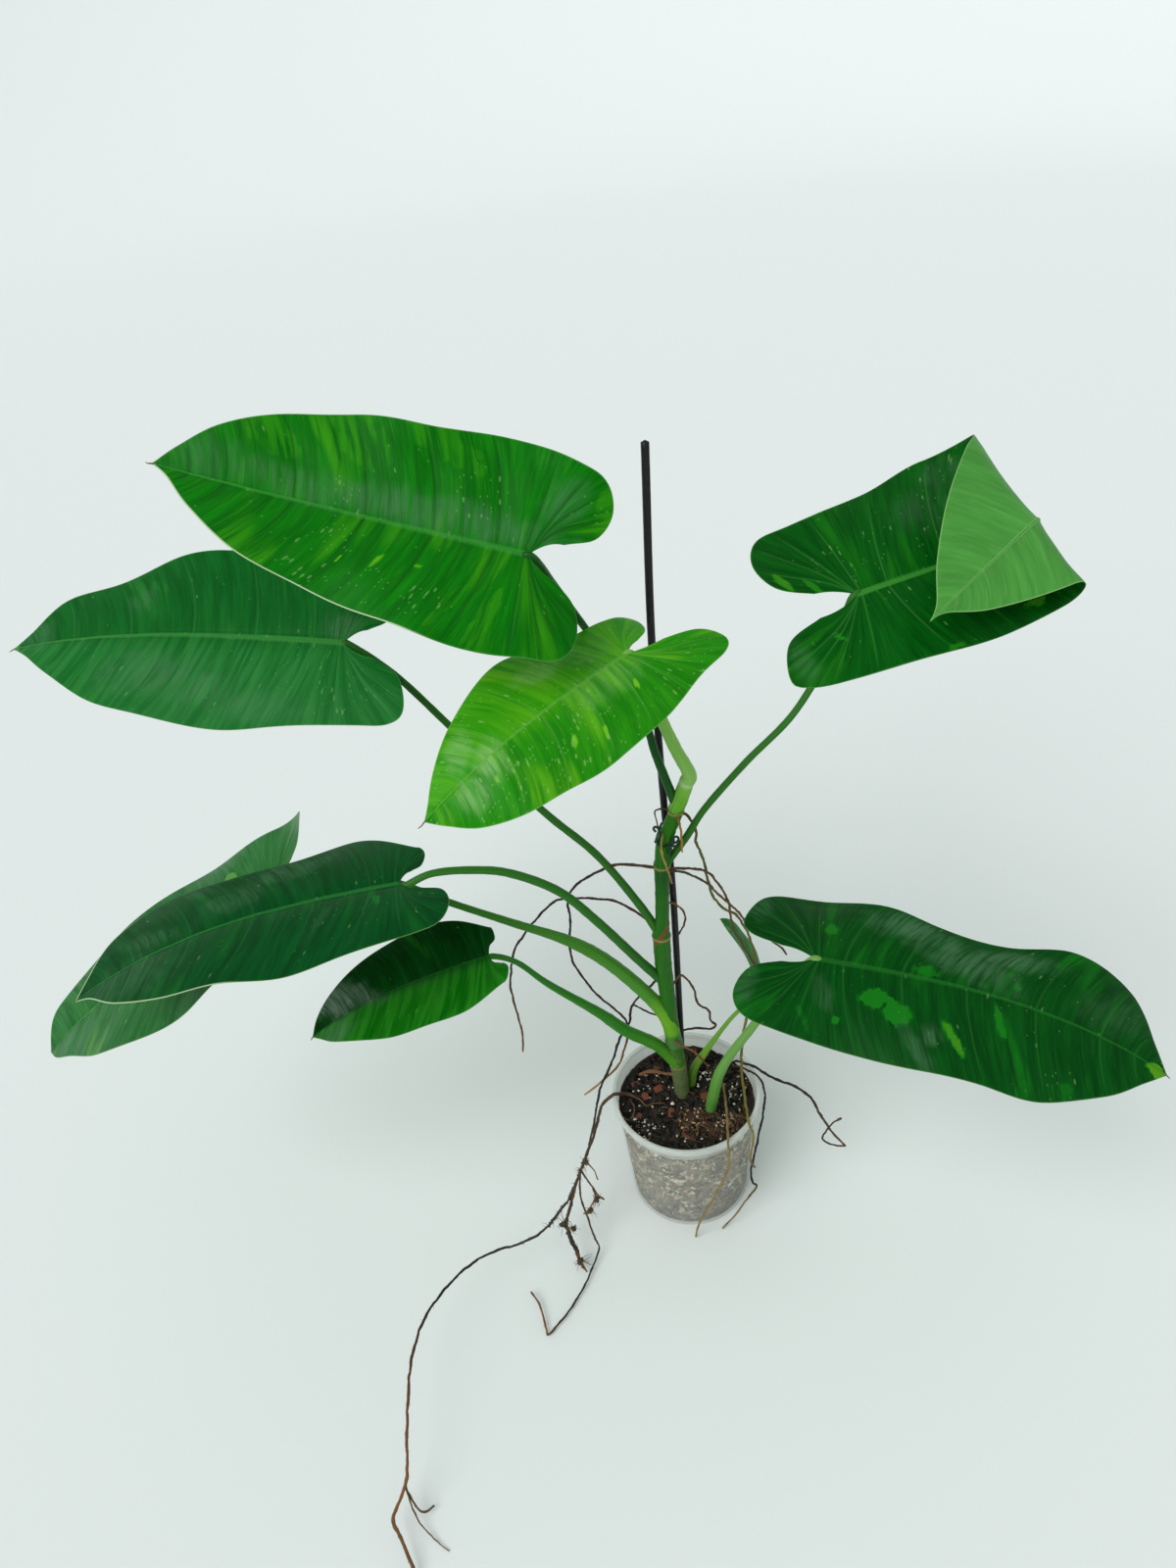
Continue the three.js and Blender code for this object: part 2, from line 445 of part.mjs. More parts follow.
// Each root: one or more strands, the first carrying the others.
const roots = {
  root_left_long: {
    strands: [
      { radii: [1.1, 1, 0.9, 0.9, 0.9, 0.9, 0.8], steps: 19, points: [
        [-8, 4, 352], [-26, 8, 354], [-40, 14, 351], [-50, 20, 342], [-68, 25, 327], [-76, 28, 309],
        [-76, 28, 289], [-78, 28, 273], [-79, 26, 259], [-76, 24, 243], [-62, 18, 217], [-44, 14, 194],
        [-42, 12, 180], [-46, 8, 164], [-53, 4, 149], [-70, 0, 134], [-82, -4, 128]] },
    ],
  },
  root_left_hanging: {
    strands: [
      { radii: [1, 0.9, 0.9, 0.9, 0.8], steps: 17, points: [
        [-11, 6, 290], [-27, 18, 300], [-44, 27, 306], [-67, 33, 306], [-83, 36, 304], [-92, 37, 297],
        [-106, 38, 280], [-121, 36, 259], [-126, 33, 242], [-129, 30, 221], [-126, 26, 177],
        [-128, 25, 154]] },
    ],
  },
  root_right_inner: {
    strands: [
      { radii: [1, 0.9, 0.9, 0.8], steps: 12, points: [
        [-7, 4, 352], [10, 11, 343], [21, 14, 338], [28, 16, 330], [35, 18, 315], [40, 20, 301],
        [42, 21, 286], [44, 22, 270], [50, 22, 253], [60, 22, 228], [63, 22, 215]] },
      { radii: [0.9, 0.9, 0.8], steps: 11, points: [
        [-7, 4, 350], [9, 9, 341], [24, 13, 326], [31, 16, 313], [38, 17, 303], [48, 20, 287],
        [54, 24, 272], [65, 30, 254], [82, 32, 234], [87, 32, 225]] },
    ],
  },
  root_right_long: {
    strands: [
      { radii: [1, 1, 1, 1, 1.1, 1.1, 1, 0.8], steps: 27, points: [
        [0, 4, 391], [9, 8, 395], [15, 10, 386], [18, 12, 373], [18, 14, 363], [23, 18, 344],
        [26, 21, 322], [30, 24, 302], [37, 26, 288], [47, 27, 278], [53, 27, 266], [58, 27, 250],
        [61, 26, 233], [60, 22, 211], [56, 18, 194], [51, 12, 175], [47, 5, 155], [46, 2, 130],
        [45, -18, 121], [44, -39, 119.5], [46, -48, 115], [45, -53, 108], [43, -56, 102], [42, -60, 97],
        [45, -62, 91]] },
    ],
  },
  root_loop_upper: {
    strands: [
      { radii: [0.8, 0.8, 0.7], steps: 7, points: [
        [-9, 6, 317], [-2, 11, 312], [5, 13, 304], [8, 17, 293], [7, 20, 280], [2, 22, 267]] },
    ],
  },
  root_loop_lower: {
    strands: [
      { radii: [0.9, 0.9, 0.9, 0.9], steps: 12, points: [
        [-8, 4, 228], [0, 7, 240], [6, 8, 236], [11, 8, 223], [14, 8, 207], [22, 8, 197], [23, 8, 187],
        [27, 8, 180], [22, 8, 177], [11, 7, 180], [1, 6, 181], [-6, 5, 181]] },
    ],
  },
  root_stem_front: {
    strands: [
      { radii: [1.2, 1, 0.9, 0.8], steps: 8, points: [
        [-6, 3, 178], [-5.5, -5, 180], [-2, -7, 178], [6, -6, 170], [13, -4, 157], [19, 10, 130],
        [21, 22, 112], [25, 25, 98]] },
    ],
  },
  root_left_falling: {
    strands: [
      { radii: [1, 0.9, 1, 1, 0.8], steps: 14, points: [
        [-10, 5, 252], [-21, 12, 228], [-31, 12, 218], [-38, 10, 206], [-40, 9, 194], [-49, 6, 179],
        [-55, 2, 163], [-61, 0, 150], [-69, -2, 130], [-73, -3, 114], [-77, -7, 96], [-84, -12, 73]] },
      { radii: [0.7, 0.7], steps: 4, points: [[-8, 4, 198], [-23, 3, 207], [-35, 6, 215], [-38, 9, 210]] },
    ],
  },
  root_trailing: {
    strands: [
      { radii: [1, 1.2, 1.3, 1.3, 1.2, 1.1, 1, 1, 1, 1.1, 1.1, 1.2, 1.3, 1], steps: 31, points: [
        [-38, 9, 100], [-48, 8, 108], [-54, 3, 116], [-60, -1, 119.5], [-67, -4, 116], [-72, -9, 109],
        [-77, -15, 95], [-83, -21, 83], [-93, -32, 66], [-103, -42, 50], [-114, -51, 42],
        [-127, -62, 37], [-145, -69, 34], [-169, -75, 35], [-189, -86, 36], [-207, -105, 38],
        [-221, -128, 40], [-228, -157, 42], [-229, -180, 42], [-229, -212, 38], [-229, -232, 30],
        [-234, -243, 22], [-240, -253, 15], [-234, -265, 10], [-226, -281, 6], [-223, -289, 4]] },
      { radii: [0.9, 0.8, 0.8, 0.8, 0.8], steps: 16, points: [
        [-93, -32, 66], [-95, -39, 46], [-91, -51, 28], [-87, -60, 15], [-85, -66, 8], [-93, -83, 4],
        [-107, -106, 3], [-128, -129, 2.5], [-131, -124, 3], [-136, -105, 4], [-142, -95, 5]] },
      { radii: [1.1, 1.3, 1.5, 1.8, 1.4, 0.7], steps: 8, points: [
        [-96, -35, 61], [-104, -46, 42], [-109, -54, 30], [-107, -61, 22], [-103, -69, 14],
        [-101, -75, 8], [-96, -83, 5]] },
    ],
  },
  root_right_free: {
    strands: [
      { radii: [0.9, 1, 1.1, 1.1, 1.1, 0.9], steps: 16, points: [
        [40, 33, 96], [45, 29, 108], [51, 17, 119], [57, 9, 124], [66, 10, 113], [79, 5, 106],
        [91, 0, 103], [102, -4, 92], [109, -8, 76], [118, -12, 57], [130, -16, 39]] },
      { radii: [0.8, 0.7, 0.7], steps: 9, points: [
        [130, -16, 39], [122, -15, 40], [113, -13, 44], [112, -12, 52], [119, -11, 64], [126, -11, 70],
        [123, -11, 69]] },
    ],
  },
  root_front: {
    strands: [
      { radii: [1, 1, 1, 1, 0.9, 0.8], steps: 17, points: [
        [32, 10, 96], [31, 4, 110], [30, -18, 114], [27, -42, 118], [25, -60, 120], [24.5, -65, 116],
        [24, -66, 106], [23, -65, 96], [18, -65, 78], [10, -64, 55], [3, -62, 33], [-2, -60, 13],
        [-4, -61, 2.2]] },
    ],
  },
  root_right_dark: {
    strands: [
      { radii: [0.8, 0.9, 0.9, 0.9, 0.9, 0.7], steps: 20, points: [
        [38, 30, 96], [45, 22, 110], [52, 10, 119], [57, 4, 120.5], [61.5, -2, 118], [63, -8, 110],
        [61, -15, 100], [58, -20, 88], [54, -26, 76], [50, -32, 62], [47, -35, 50], [47, -39, 38],
        [51, -39, 30], [43, -43, 22], [31, -50, 10], [19, -56, 1.8]] },
    ],
  },
  root_short_upper: {
    strands: [
      { radii: [0.9, 0.8, 0.6], steps: 6, points: [
        [4, 4, 401], [5, -3, 399], [6, -6, 386], [6, -6, 373]] },
    ],
  },
  root_short_lower: {
    strands: [
      { radii: [0.9, 0.8, 0.6], steps: 7, points: [
        [-4, 4, 385], [-7, -3.5, 384], [-8, -5.6, 376], [-6, -6, 366], [-4, -6, 356], [-2, -5, 345]] },
    ],
  },
};

function rootSolid(root, extra = 0) {
  const strands = root.strands.map((s) => rod(s.points, s.radii, 5, s.steps, extra));
  return strands.reduce((made, strand) => made.add(strand));
}

// Pot and soil

function turned(profile) {
  const outline = profile.map(([r, z]) => new THREE.Vector2(r, z));
  const geometry = new THREE.LatheGeometry(outline, POT_SIDES);
  geometry.rotateX(Math.PI / 2);
  return solidFromGeometry(geometry);
}

const wallTop = POT_HEIGHT - POT_RIM_DEPTH;
function innerWall(z) {
  const outside = THREE.MathUtils.mapLinear(z, 1.2, wallTop, POT_BASE_RADIUS, POT_WALL_TOP_RADIUS);
  return outside - POT_WALL;
}

function potSolid() {
  let pot = turned([
    [0, 0],
    [POT_BASE_RADIUS - 1.2, 0],
    [POT_BASE_RADIUS, 1.2],
    [POT_WALL_TOP_RADIUS, wallTop],
    [POT_RIM_RADIUS - 0.4, wallTop],
    [POT_RIM_RADIUS, wallTop + 0.6],
    [POT_RIM_RADIUS, POT_HEIGHT - 0.7],
    [POT_RIM_RADIUS - 0.7, POT_HEIGHT],
    [POT_WALL_TOP_RADIUS - 0.2, POT_HEIGHT],
    [innerWall(wallTop) + 0.4, POT_HEIGHT - 1],
    [innerWall(POT_FLOOR + 1), POT_FLOOR + 1],
    [innerWall(POT_FLOOR) - 1, POT_FLOOR],
    [0, POT_FLOOR],
  ]);
  for (let i = 0; i < DRAIN_HOLES; i++) {
    const turn = (2 * Math.PI * (i + 0.5)) / DRAIN_HOLES;
    const [x, y] = [DRAIN_RING_RADIUS * Math.cos(turn), DRAIN_RING_RADIUS * Math.sin(turn)];
    pot = pot.subtract(uprightCylinder(x, y, -2, POT_FLOOR + 2, DRAIN_RADIUS, 12));
  }
  return pot;
}

function soilTop(x, y) {
  const ripple = Math.sin(x * 0.19 + 1.1) * Math.cos(y * 0.23 - 0.6) + 0.6 * Math.sin(x * 0.37 - y * 0.31);
  const edge = Math.hypot(x, y) / innerWall(SOIL_LEVEL);
  return SOIL_LEVEL + SOIL_BUMP * ripple * (1 - 0.5 * edge) + 1.5 * (1 - edge);
}

function soilSolid() {
  const bottom = POT_FLOOR + GAP + 0.1;
  const rings = [0.16, 0.34, 0.52, 0.7, 0.86, 1].map((share) => share * (innerWall(SOIL_LEVEL) - GAP));
  const positions = [0, 0, soilTop(0, 0)];
  const ring = (radius, height) => {
    for (let k = 0; k < POT_SIDES; k++) {
      const turn = (2 * Math.PI * k) / POT_SIDES;
      const [x, y] = [radius * Math.sin(turn), -radius * Math.cos(turn)];
      positions.push(x, y, height ?? soilTop(x, y));
    }
  };
  rings.forEach((radius) => ring(radius));
  ring(innerWall(bottom + 2) - GAP, bottom + 2);
  ring(innerWall(bottom) - 1.8, bottom);
  positions.push(0, 0, bottom);
  const count = rings.length + 2;
  const triangles = [];
  for (let k = 0; k < POT_SIDES; k++) {
    const next = (k + 1) % POT_SIDES;
    triangles.push(0, 1 + k, 1 + next);
    for (let i = 0; i + 1 < count; i++) {
      const [a, b] = [1 + i * POT_SIDES + k, 1 + i * POT_SIDES + next];
      triangles.push(a, a + POT_SIDES, b + POT_SIDES, a, b + POT_SIDES, b);
    }
    const lastRing = 1 + (count - 1) * POT_SIDES;
    triangles.push(lastRing + k, positions.length / 3 - 1, lastRing + next);
  }
  return solidFromLists(positions, triangles);
}

// The whole plant

const plant = new THREE.Group();
plant.name = "philodendron";

const GREEN = "#2f6b2c";
const YOUNG_GREEN = "#63a52a";
const STALK_GREEN = "#4c8a3b";
const ROOT_BROWN = "#6d4a2c";

const stem = stemSolid();
const stemRoom = stemSolid(GAP);
const stake = rod(stakePoints, stakeRadii, 8, 10);
const stakeRoom = rod(stakePoints, stakeRadii, 8, 10, GAP);
plant.add(meshOf("pot", potSolid(), "#cfd6d3"));
plant.add(meshOf("stem", stem, STALK_GREEN));
plant.add(meshOf("stake", stake, "#1d1c1c"));

const inSoil = [stemRoom, stakeRoom];
for (const [name, leaf] of Object.entries(leaves)) {
  const points = [...leaf.stalk, underBase(leaf)];
  const steps = Math.round(1.5 * points.length);
  inSoil.push(rod(points, leaf.stalkRadii, 7, steps, GAP));
  plant.add(meshOf(name + "_blade", bladeSolid(leaf), name === "leaf_9" ? YOUNG_GREEN : GREEN));
  plant.add(meshOf(name + "_petiole", cutBy(rod(points, leaf.stalkRadii, 7, steps), stemRoom), STALK_GREEN));
}
plant.add(meshOf("plant_tie", cutBy(tieSolid(), ...inSoil), "#1f4030"));

const uprights = [...inSoil];
for (const [name, root] of Object.entries(roots)) {
  plant.add(meshOf(name, cutBy(rootSolid(root), ...uprights), ROOT_BROWN));
  inSoil.push(rootSolid(root, GAP));
}
plant.add(meshOf("soil", cutBy(soilSolid(), ...inSoil), "#2b211a"));

export default plant;
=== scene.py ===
"""A potted philodendron tied to a stake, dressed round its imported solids. Lengths are in millimetres
until a piece is made; Blender holds them in metres, Z up, with the origin under the pot."""

import itertools
import math

import bmesh
import bpy
import numpy as np
from mathutils import Matrix, Vector


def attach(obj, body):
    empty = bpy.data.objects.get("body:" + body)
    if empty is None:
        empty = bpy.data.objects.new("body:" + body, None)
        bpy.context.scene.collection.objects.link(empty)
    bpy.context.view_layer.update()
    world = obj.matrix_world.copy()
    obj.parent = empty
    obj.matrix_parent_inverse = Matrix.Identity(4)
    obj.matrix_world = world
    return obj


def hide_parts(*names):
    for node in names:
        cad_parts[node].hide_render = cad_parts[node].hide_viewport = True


MM = 0.001
UV_SCALE = 10.0  # UVs are in decimetres
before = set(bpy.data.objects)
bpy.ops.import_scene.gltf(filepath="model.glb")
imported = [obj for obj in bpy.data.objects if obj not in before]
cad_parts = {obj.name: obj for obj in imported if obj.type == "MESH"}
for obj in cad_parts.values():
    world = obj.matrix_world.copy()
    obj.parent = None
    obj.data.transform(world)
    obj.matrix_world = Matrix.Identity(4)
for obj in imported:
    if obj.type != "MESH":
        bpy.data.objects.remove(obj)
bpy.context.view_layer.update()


# Small tools for shapes


def smooth_line(points, steps):
    """Places along a smooth line through the points, spread evenly over its spans."""
    p = np.asarray(points, float)
    held = np.vstack([2 * p[0] - p[1], p, 2 * p[-1] - p[-2]])
    at = np.linspace(0, len(p) - 1, steps + 1)
    low = np.minimum(at.astype(int), len(p) - 2)
    w = (at - low)[:, None]
    a, b, c, d = (held[low + k] for k in range(4))
    start, end = (c - a) / 2, (d - b) / 2
    cubic = (2 * b - 2 * c + start + end) * w**3
    return cubic + (3 * c - 3 * b - 2 * start - end) * w**2 + start * w + b


def unit(v):
    return v / np.maximum(np.linalg.norm(v, axis=-1, keepdims=True), 1e-12)


def smoothstep(low, high, x):
    t = np.clip((x - low) / (high - low), 0, 1)
    return t * t * (3 - 2 * t)


def cloud(points, size, seed):
    """Smooth random values between -1 and 1 at points, in lumps about size wide."""
    table = np.random.default_rng(seed).uniform(-1, 1, (32, 32, 32))
    at = np.asarray(points, float) / size
    low = np.floor(at).astype(int)
    w = at - low
    w = w * w * (3 - 2 * w)
    total = 0
    for corner in itertools.product((0, 1), repeat=3):
        share = np.prod(np.where(corner, w, 1 - w), axis=-1)
        i = (low + corner) % 32
        total = total + share * table[i[..., 0], i[..., 1], i[..., 2]]
    return total


def waves(x, seed, count=5):
    """A smooth random line between about -1 and 1 over x, where 1 is one long wave."""
    draw = np.random.default_rng(seed)
    total = np.zeros_like(x, float)
    for k in range(count):
        total += np.sin(2 * math.pi * (x * (k + draw.uniform(0.4, 1.2)) + draw.uniform(0, 1))) / (k + 1)
    return total / 1.6


def ring_quads(rows, sides):
    """Quads between the rings of a rod or a turned body, and each one's row and column."""
    row, col = np.meshgrid(np.arange(rows), np.arange(sides), indexing="ij")
    a, b = row * sides + col, row * sides + (col + 1) % sides
    return np.stack([a, b, b + sides, a + sides], -1).reshape(-1, 4), row, col


def tube(points, radii, sides, pace=2.0, wobble=0.0, bend=0.0, seed=0, oval=1.0, start=(0, 1, 0.2)):
    """A closed rod of rings along a smooth line, a ring every pace. Returns points, quads, corner
    UVs of (distance along, distance round) and each point's share of the way along."""
    rough = smooth_line(points, 8 * (len(points) - 1))
    length = np.linalg.norm(np.diff(rough, axis=0), axis=1).sum()
    steps = max(int(length / pace), 4)
    line = smooth_line(points, steps)
    share = np.linspace(0, 1, steps + 1)
    along = np.concatenate([[0], np.cumsum(np.linalg.norm(np.diff(line, axis=0), axis=1))])
    radius = np.interp(share * (len(radii) - 1), range(len(radii)), radii)
    if wobble:
        radius = radius * (1 + wobble * waves(along / 14, seed) + 0.5 * wobble * waves(along / 4, seed + 1))
    ahead = unit(np.gradient(line, axis=0))
    across = np.array(start, float)
    rings = []
    for i in range(steps + 1):
        across = unit(across - ahead[i] * across.dot(ahead[i]))
        rings.append(across)
    across = np.array(rings)
    other = np.cross(ahead, across)
    if bend:
        fade = np.minimum(1, 6 * np.minimum(share, 1 - share))[:, None]
        line = line + bend * fade * waves(along / 22, seed + 2)[:, None] * across
        line = line + bend * fade * waves(along / 22, seed + 3)[:, None] * other
    turn = np.linspace(0, 2 * math.pi, sides, endpoint=False)
    rim = across[:, None] * np.cos(turn)[None, :, None] + oval * other[:, None] * np.sin(turn)[None, :, None]
    body = (line[:, None] + radius[:, None, None] * rim).reshape(-1, 3)
    caps = [line[0] - 0.4 * radius[0] * ahead[0], line[-1] + 0.6 * radius[-1] * ahead[-1]]
    made = np.vstack([body, caps])
    quads, row, col = ring_quads(steps, sides)
    side = np.arange(sides)
    first, last = len(body), len(body) + 1
    foot = np.stack([(side + 1) % sides, side, np.full(sides, first), np.full(sides, first)], -1)
    top = steps * sides
    head = np.stack([top + side, top + (side + 1) % sides, np.full(sides, last), np.full(sides, last)], -1)
    facet = 2 * math.pi * radius.mean() / sides
    uv = np.stack([along[row], col * facet], -1)
    uv = np.stack([uv, uv + [0, facet], uv + [0, facet], uv], -2)
    uv[..., 2, 0] = uv[..., 3, 0] = along[row + 1]
    uv = np.vstack([uv.reshape(-1, 4, 2), np.zeros((2 * sides, 4, 2))])
    uv[-sides:, :, 0] = along[-1]
    return made, np.vstack([quads, foot, head]), uv, np.concatenate([np.repeat(share, sides), [0, 1]])


def joined(parts):
    """Several (points, quads, uv, value) as one."""
    points, quads, uvs, values, count = [], [], [], [], 0
    for p, q, uv, value in parts:
        points.append(p)
        quads.append(q + count)
        uvs.append(uv)
        values.append(value)
        count += len(p)
    return np.vstack(points), np.vstack(quads), np.vstack(uvs), np.concatenate(values)


def piece(name, points, quads, materials, nodes=(), uv=None, layers=None, which=None, flat=False):
    """A mesh object that rides with the plant. A quad that repeats a corner becomes a triangle."""
    mesh = bpy.data.meshes.new(name)
    differ = quads != np.roll(quads, -1, axis=1)
    good = differ.sum(axis=1) > 2
    quads, differ = quads[good], differ[good]
    faces = [q[d].tolist() for q, d in zip(quads, differ)]
    mesh.from_pydata((np.asarray(points) * MM).tolist(), [], faces)
    if uv is not None:
        layer = mesh.uv_layers.new(name="surface")
        layer.data.foreach_set("uv", (uv[good][differ] * MM * UV_SCALE).ravel())
    for key, values in (layers or {}).items():
        mesh.attributes.new(key, "FLOAT", "POINT").data.foreach_set("value", np.asarray(values, np.float32))
    for material in materials:
        mesh.materials.append(material)
    if which is not None:
        mesh.polygons.foreach_set("material_index", np.asarray(which)[good].astype(np.int32))
    mesh.polygons.foreach_set("use_smooth", np.full(len(faces), not flat))
    mesh.validate()
    obj = bpy.data.objects.new(name, mesh)
    bpy.context.scene.collection.objects.link(obj)
    if nodes:
        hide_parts(*nodes)
    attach(obj, "root")
    return obj


def grown(name, parts, material, nodes=(), layer="way", lowest=-math.inf, flat=False):
    """A piece of one material joined from parts, none of it below lowest; layer names their value."""
    shape, quads, uv, value = joined(parts)
    shape[:, 2] = np.maximum(shape[:, 2], lowest)
    layers = {layer: value} if layer else None
    piece(name, shape, quads, [material], nodes, uv=uv, layers=layers, flat=flat)


# Small tools for materials


class Shading:
    """A material's nodes, made one call at a time. Inputs may be values or other nodes' outputs."""

    def __init__(self, name):
        self.material = bpy.data.materials.new(name)
        self.material.use_nodes = True
        self.tree = self.material.node_tree
        self.shader = self.tree.nodes["Principled BSDF"]

    def node(self, kind, inputs=None, output=0, **settings):
        made = self.tree.nodes.new("ShaderNode" + kind)
        for key, value in settings.items():
            setattr(made, key, value)
        for key, value in (inputs or {}).items():
            self.set(made.inputs[key], value)
        return made.outputs[output]

    def set(self, socket, value):
        if isinstance(value, bpy.types.NodeSocket):
            self.tree.links.new(value, socket)
        elif socket.type == "RGBA":
            socket.default_value = (*value[:3], 1)
        else:
            socket.default_value = value

    def times(self, a, b, clamp=False):
        return self.node("Math", {0: a, 1: b}, operation="MULTIPLY", use_clamp=clamp)

    def plus(self, a, b, clamp=False):
        return self.node("Math", {0: a, 1: b}, operation="ADD", use_clamp=clamp)

    def layer(self, name):
        return self.node("Attribute", output="Fac", attribute_name=name)

    def place(self, scale, shift=(0, 0, 0)):
        """The surface's own coordinates in millimetres, each divided by its entry in scale."""
        per = [1000 / UV_SCALE / s for s in scale]
        spot = self.node("UVMap", uv_map="surface")
        return self.node("Mapping", {"Vector": spot, "Scale": (*per, 1)[:3], "Location": shift})

    def solid_place(self, scale):
        """The object's own coordinates, with features about scale millimetres wide."""
        spot = self.node("TexCoord", output="Object")
        return self.node("Mapping", {"Vector": spot, "Scale": (1000 / scale,) * 3})

    def noise(self, place, detail=2.0, rough=0.5, distort=0.0):
        values = {"Vector": place, "Scale": 1.0, "Detail": detail, "Roughness": rough, "Distortion": distort}
        return self.node("TexNoise", values)

    def ramp(self, value, low, high):
        """0 under low, 1 over high, smooth between."""
        values = {"Value": value, "From Min": low, "From Max": high}
        return self.node("MapRange", values, interpolation_type="SMOOTHSTEP")

    def mix(self, share, a, b):
        made = self.tree.nodes.new("ShaderNodeMix")
        made.data_type = "RGBA"
        self.set(made.inputs[0], share)
        self.set(made.inputs[6], a)
        self.set(made.inputs[7], b)
        return made.outputs[2]

    def over(self, under, colour, strength, mask):
        """A colour laid over another one, as strongly as the mask times strength."""
        return self.mix(self.times(mask, strength), under, colour)

    def stops(self, value, colours):
        """A ramp of colours from a list of (place, colour)."""
        made = self.tree.nodes.new("ShaderNodeValToRGB")
        self.set(made.inputs[0], value)
        bar = made.color_ramp.elements
        while len(bar) < len(colours):
            bar.new(0.5)
        for stop, (at, colour) in zip(bar, colours):
            stop.position = at
            stop.color = (*colour, 1)
        return made.outputs[0]

    def specks(self, cell, size, share, more):
        """Ragged ovals, one in each of a share of the cells; more is a layer that adds to the share."""
        values = {"Vector": self.place(cell), "Scale": 1.0}
        near = self.node("TexVoronoi", values, voronoi_dimensions="2D")
        ragged = self.times(self.noise(self.place((cell[0] / 5, cell[1] / 6))), 0.16)
        kind = self.node("TexVoronoi", values, output="Color", voronoi_dimensions="2D")
        kind = self.plus(self.node("SeparateColor", {"Color": kind}), more)
        spots = self.ramp(self.plus(near, ragged), size + 0.13, size + 0.05)
        return self.times(spots, self.ramp(kind, 1 - share, 1.01 - share))

    def bump(self, height, distance, strength=1.0):
        normal = self.node("Bump", {"Height": height, "Distance": distance * MM, "Strength": strength})
        self.set(self.shader.inputs["Normal"], normal)

    def finish(self, colour, roughness, specular=0.5, **more):
        values = {"Base Color": colour, "Roughness": roughness, "Specular IOR Level": specular}
        for key, value in {**values, **more}.items():
            self.set(self.shader.inputs[key], value)
        return self.material


# Camera, light and floor

EYE = (-52, -586, 870)
LOOK_DOWN = 36.65
CAMERA_ROLL = -6.26
LENS = 26.0
KEY_FROM = (-0.55, -0.5, 0.75)
KEY_STRENGTH = 1.7
KEY_ANGLE = 42
SKY = (0.82, 0.87, 0.85)
SKY_STRENGTH = 0.69


def make_camera():
    down, roll = math.radians(LOOK_DOWN), math.radians(CAMERA_ROLL)
    right = Vector((1, 0, 0))
    up = Vector((0, math.sin(down), math.cos(down)))
    ahead = Vector((0, math.cos(down), -math.sin(down)))
    turned = math.cos(roll) * right + math.sin(roll) * up
    upright = math.cos(roll) * up - math.sin(roll) * right
    camera = bpy.data.objects.new("camera", bpy.data.cameras.new("camera"))
    camera.data.lens = LENS
    camera.data.sensor_width = 36
    spin = Matrix((turned, upright, -ahead)).transposed().to_4x4()
    camera.matrix_world = Matrix.Translation(Vector(EYE) * MM) @ spin
    bpy.context.scene.collection.objects.link(camera)
    bpy.context.scene.camera = camera


def make_light():
    sun = bpy.data.objects.new("window", bpy.data.lights.new("window", "SUN"))
    sun.data.energy = KEY_STRENGTH
    sun.data.angle = math.radians(KEY_ANGLE)
    sun.rotation_mode = "QUATERNION"
    sun.rotation_quaternion = Vector(KEY_FROM).to_track_quat("Z", "Y")
    bpy.context.scene.collection.objects.link(sun)
    world = bpy.data.worlds.new("sky")
    world.use_nodes = True
    sky = world.node_tree.nodes["Background"]
    sky.inputs[0].default_value = (*SKY, 1)
    sky.inputs[1].default_value = SKY_STRENGTH
    bpy.context.scene.world = world
    bpy.context.scene.view_settings.view_transform = "Standard"


FLOOR_SIDES = 96
FLAT_RADIUS = 4.5
BOWL_RADIUS = 8.0
BOWL_HEIGHT = 2.6
FLOOR_COLOUR = (0.78, 0.82, 0.815)


def make_floor():
    """A pale round floor, flat under the plant, that rises smoothly far away from it."""
    mesh = bpy.data.meshes.new("floor")
    turns = np.linspace(0, 2 * math.pi, FLOOR_SIDES, endpoint=False)
    radii = np.concatenate([[0.5], np.linspace(FLAT_RADIUS, BOWL_RADIUS, 24)])
    heights = BOWL_HEIGHT * (np.maximum(radii - FLAT_RADIUS, 0) / (BOWL_RADIUS - FLAT_RADIUS)) ** 2
    corners = [(r * math.cos(t), r * math.sin(t), h) for r, h in zip(radii, heights) for t in turns]
    quads = ring_quads(len(radii) - 1, FLOOR_SIDES)[0][:, [0, 3, 2, 1]]
    mesh.from_pydata(corners, [], [list(range(FLOOR_SIDES)), *quads.tolist()])
    mesh.polygons.foreach_set("use_smooth", np.ones(len(quads) + 1, bool))
    floor = bpy.data.objects.new("floor", mesh)
    mesh.materials.append(Shading("floor_white").finish(FLOOR_COLOUR, 0.9, 0.2))
    bpy.context.scene.collection.objects.link(floor)


make_camera()
make_light()
make_floor()


# Leaf blades: the same outline, fold and bend as the solids, on a finer net

WIDTH_PLACES = [0.95, 0.86, 0.7, 0.52, 0.33, 0.14]
VEIN_STARTS = [0.92, 0.8, 0.61, 0.42, 0.24, 0.07]
LAST_EDGE_POINT = 11
NOTCH_REACH = 0.45
SIDE_VEINS = [1.2, 2, 2.95, 3.95, 4.95, 5.9, 6.75, 7.5, 8.3, 9.2]  # in numbers of edge points
ACROSS = np.concatenate([[0, 0.012, 0.025, 0.04, 0.06], np.linspace(0.09, 0.97, 26), [0.99, 1]])
MIDRIB_STEPS = 24
BLADE_THICKNESS = 0.7
KEEL_SHARE_OF_LENGTH = 0.0056
ROW_PACE = 1.8
VEIN_ROWS = np.array([-1.2, -0.5, 0, 0.5, 1.2])
HALF_OFFSET = 700  # keeps the two halves' surface coordinates apart
RIB_LENGTH = 232  # the blade length that the midrib's width is given for
VEIN_BOW = 0.72  # how far the side veins bow towards the tip

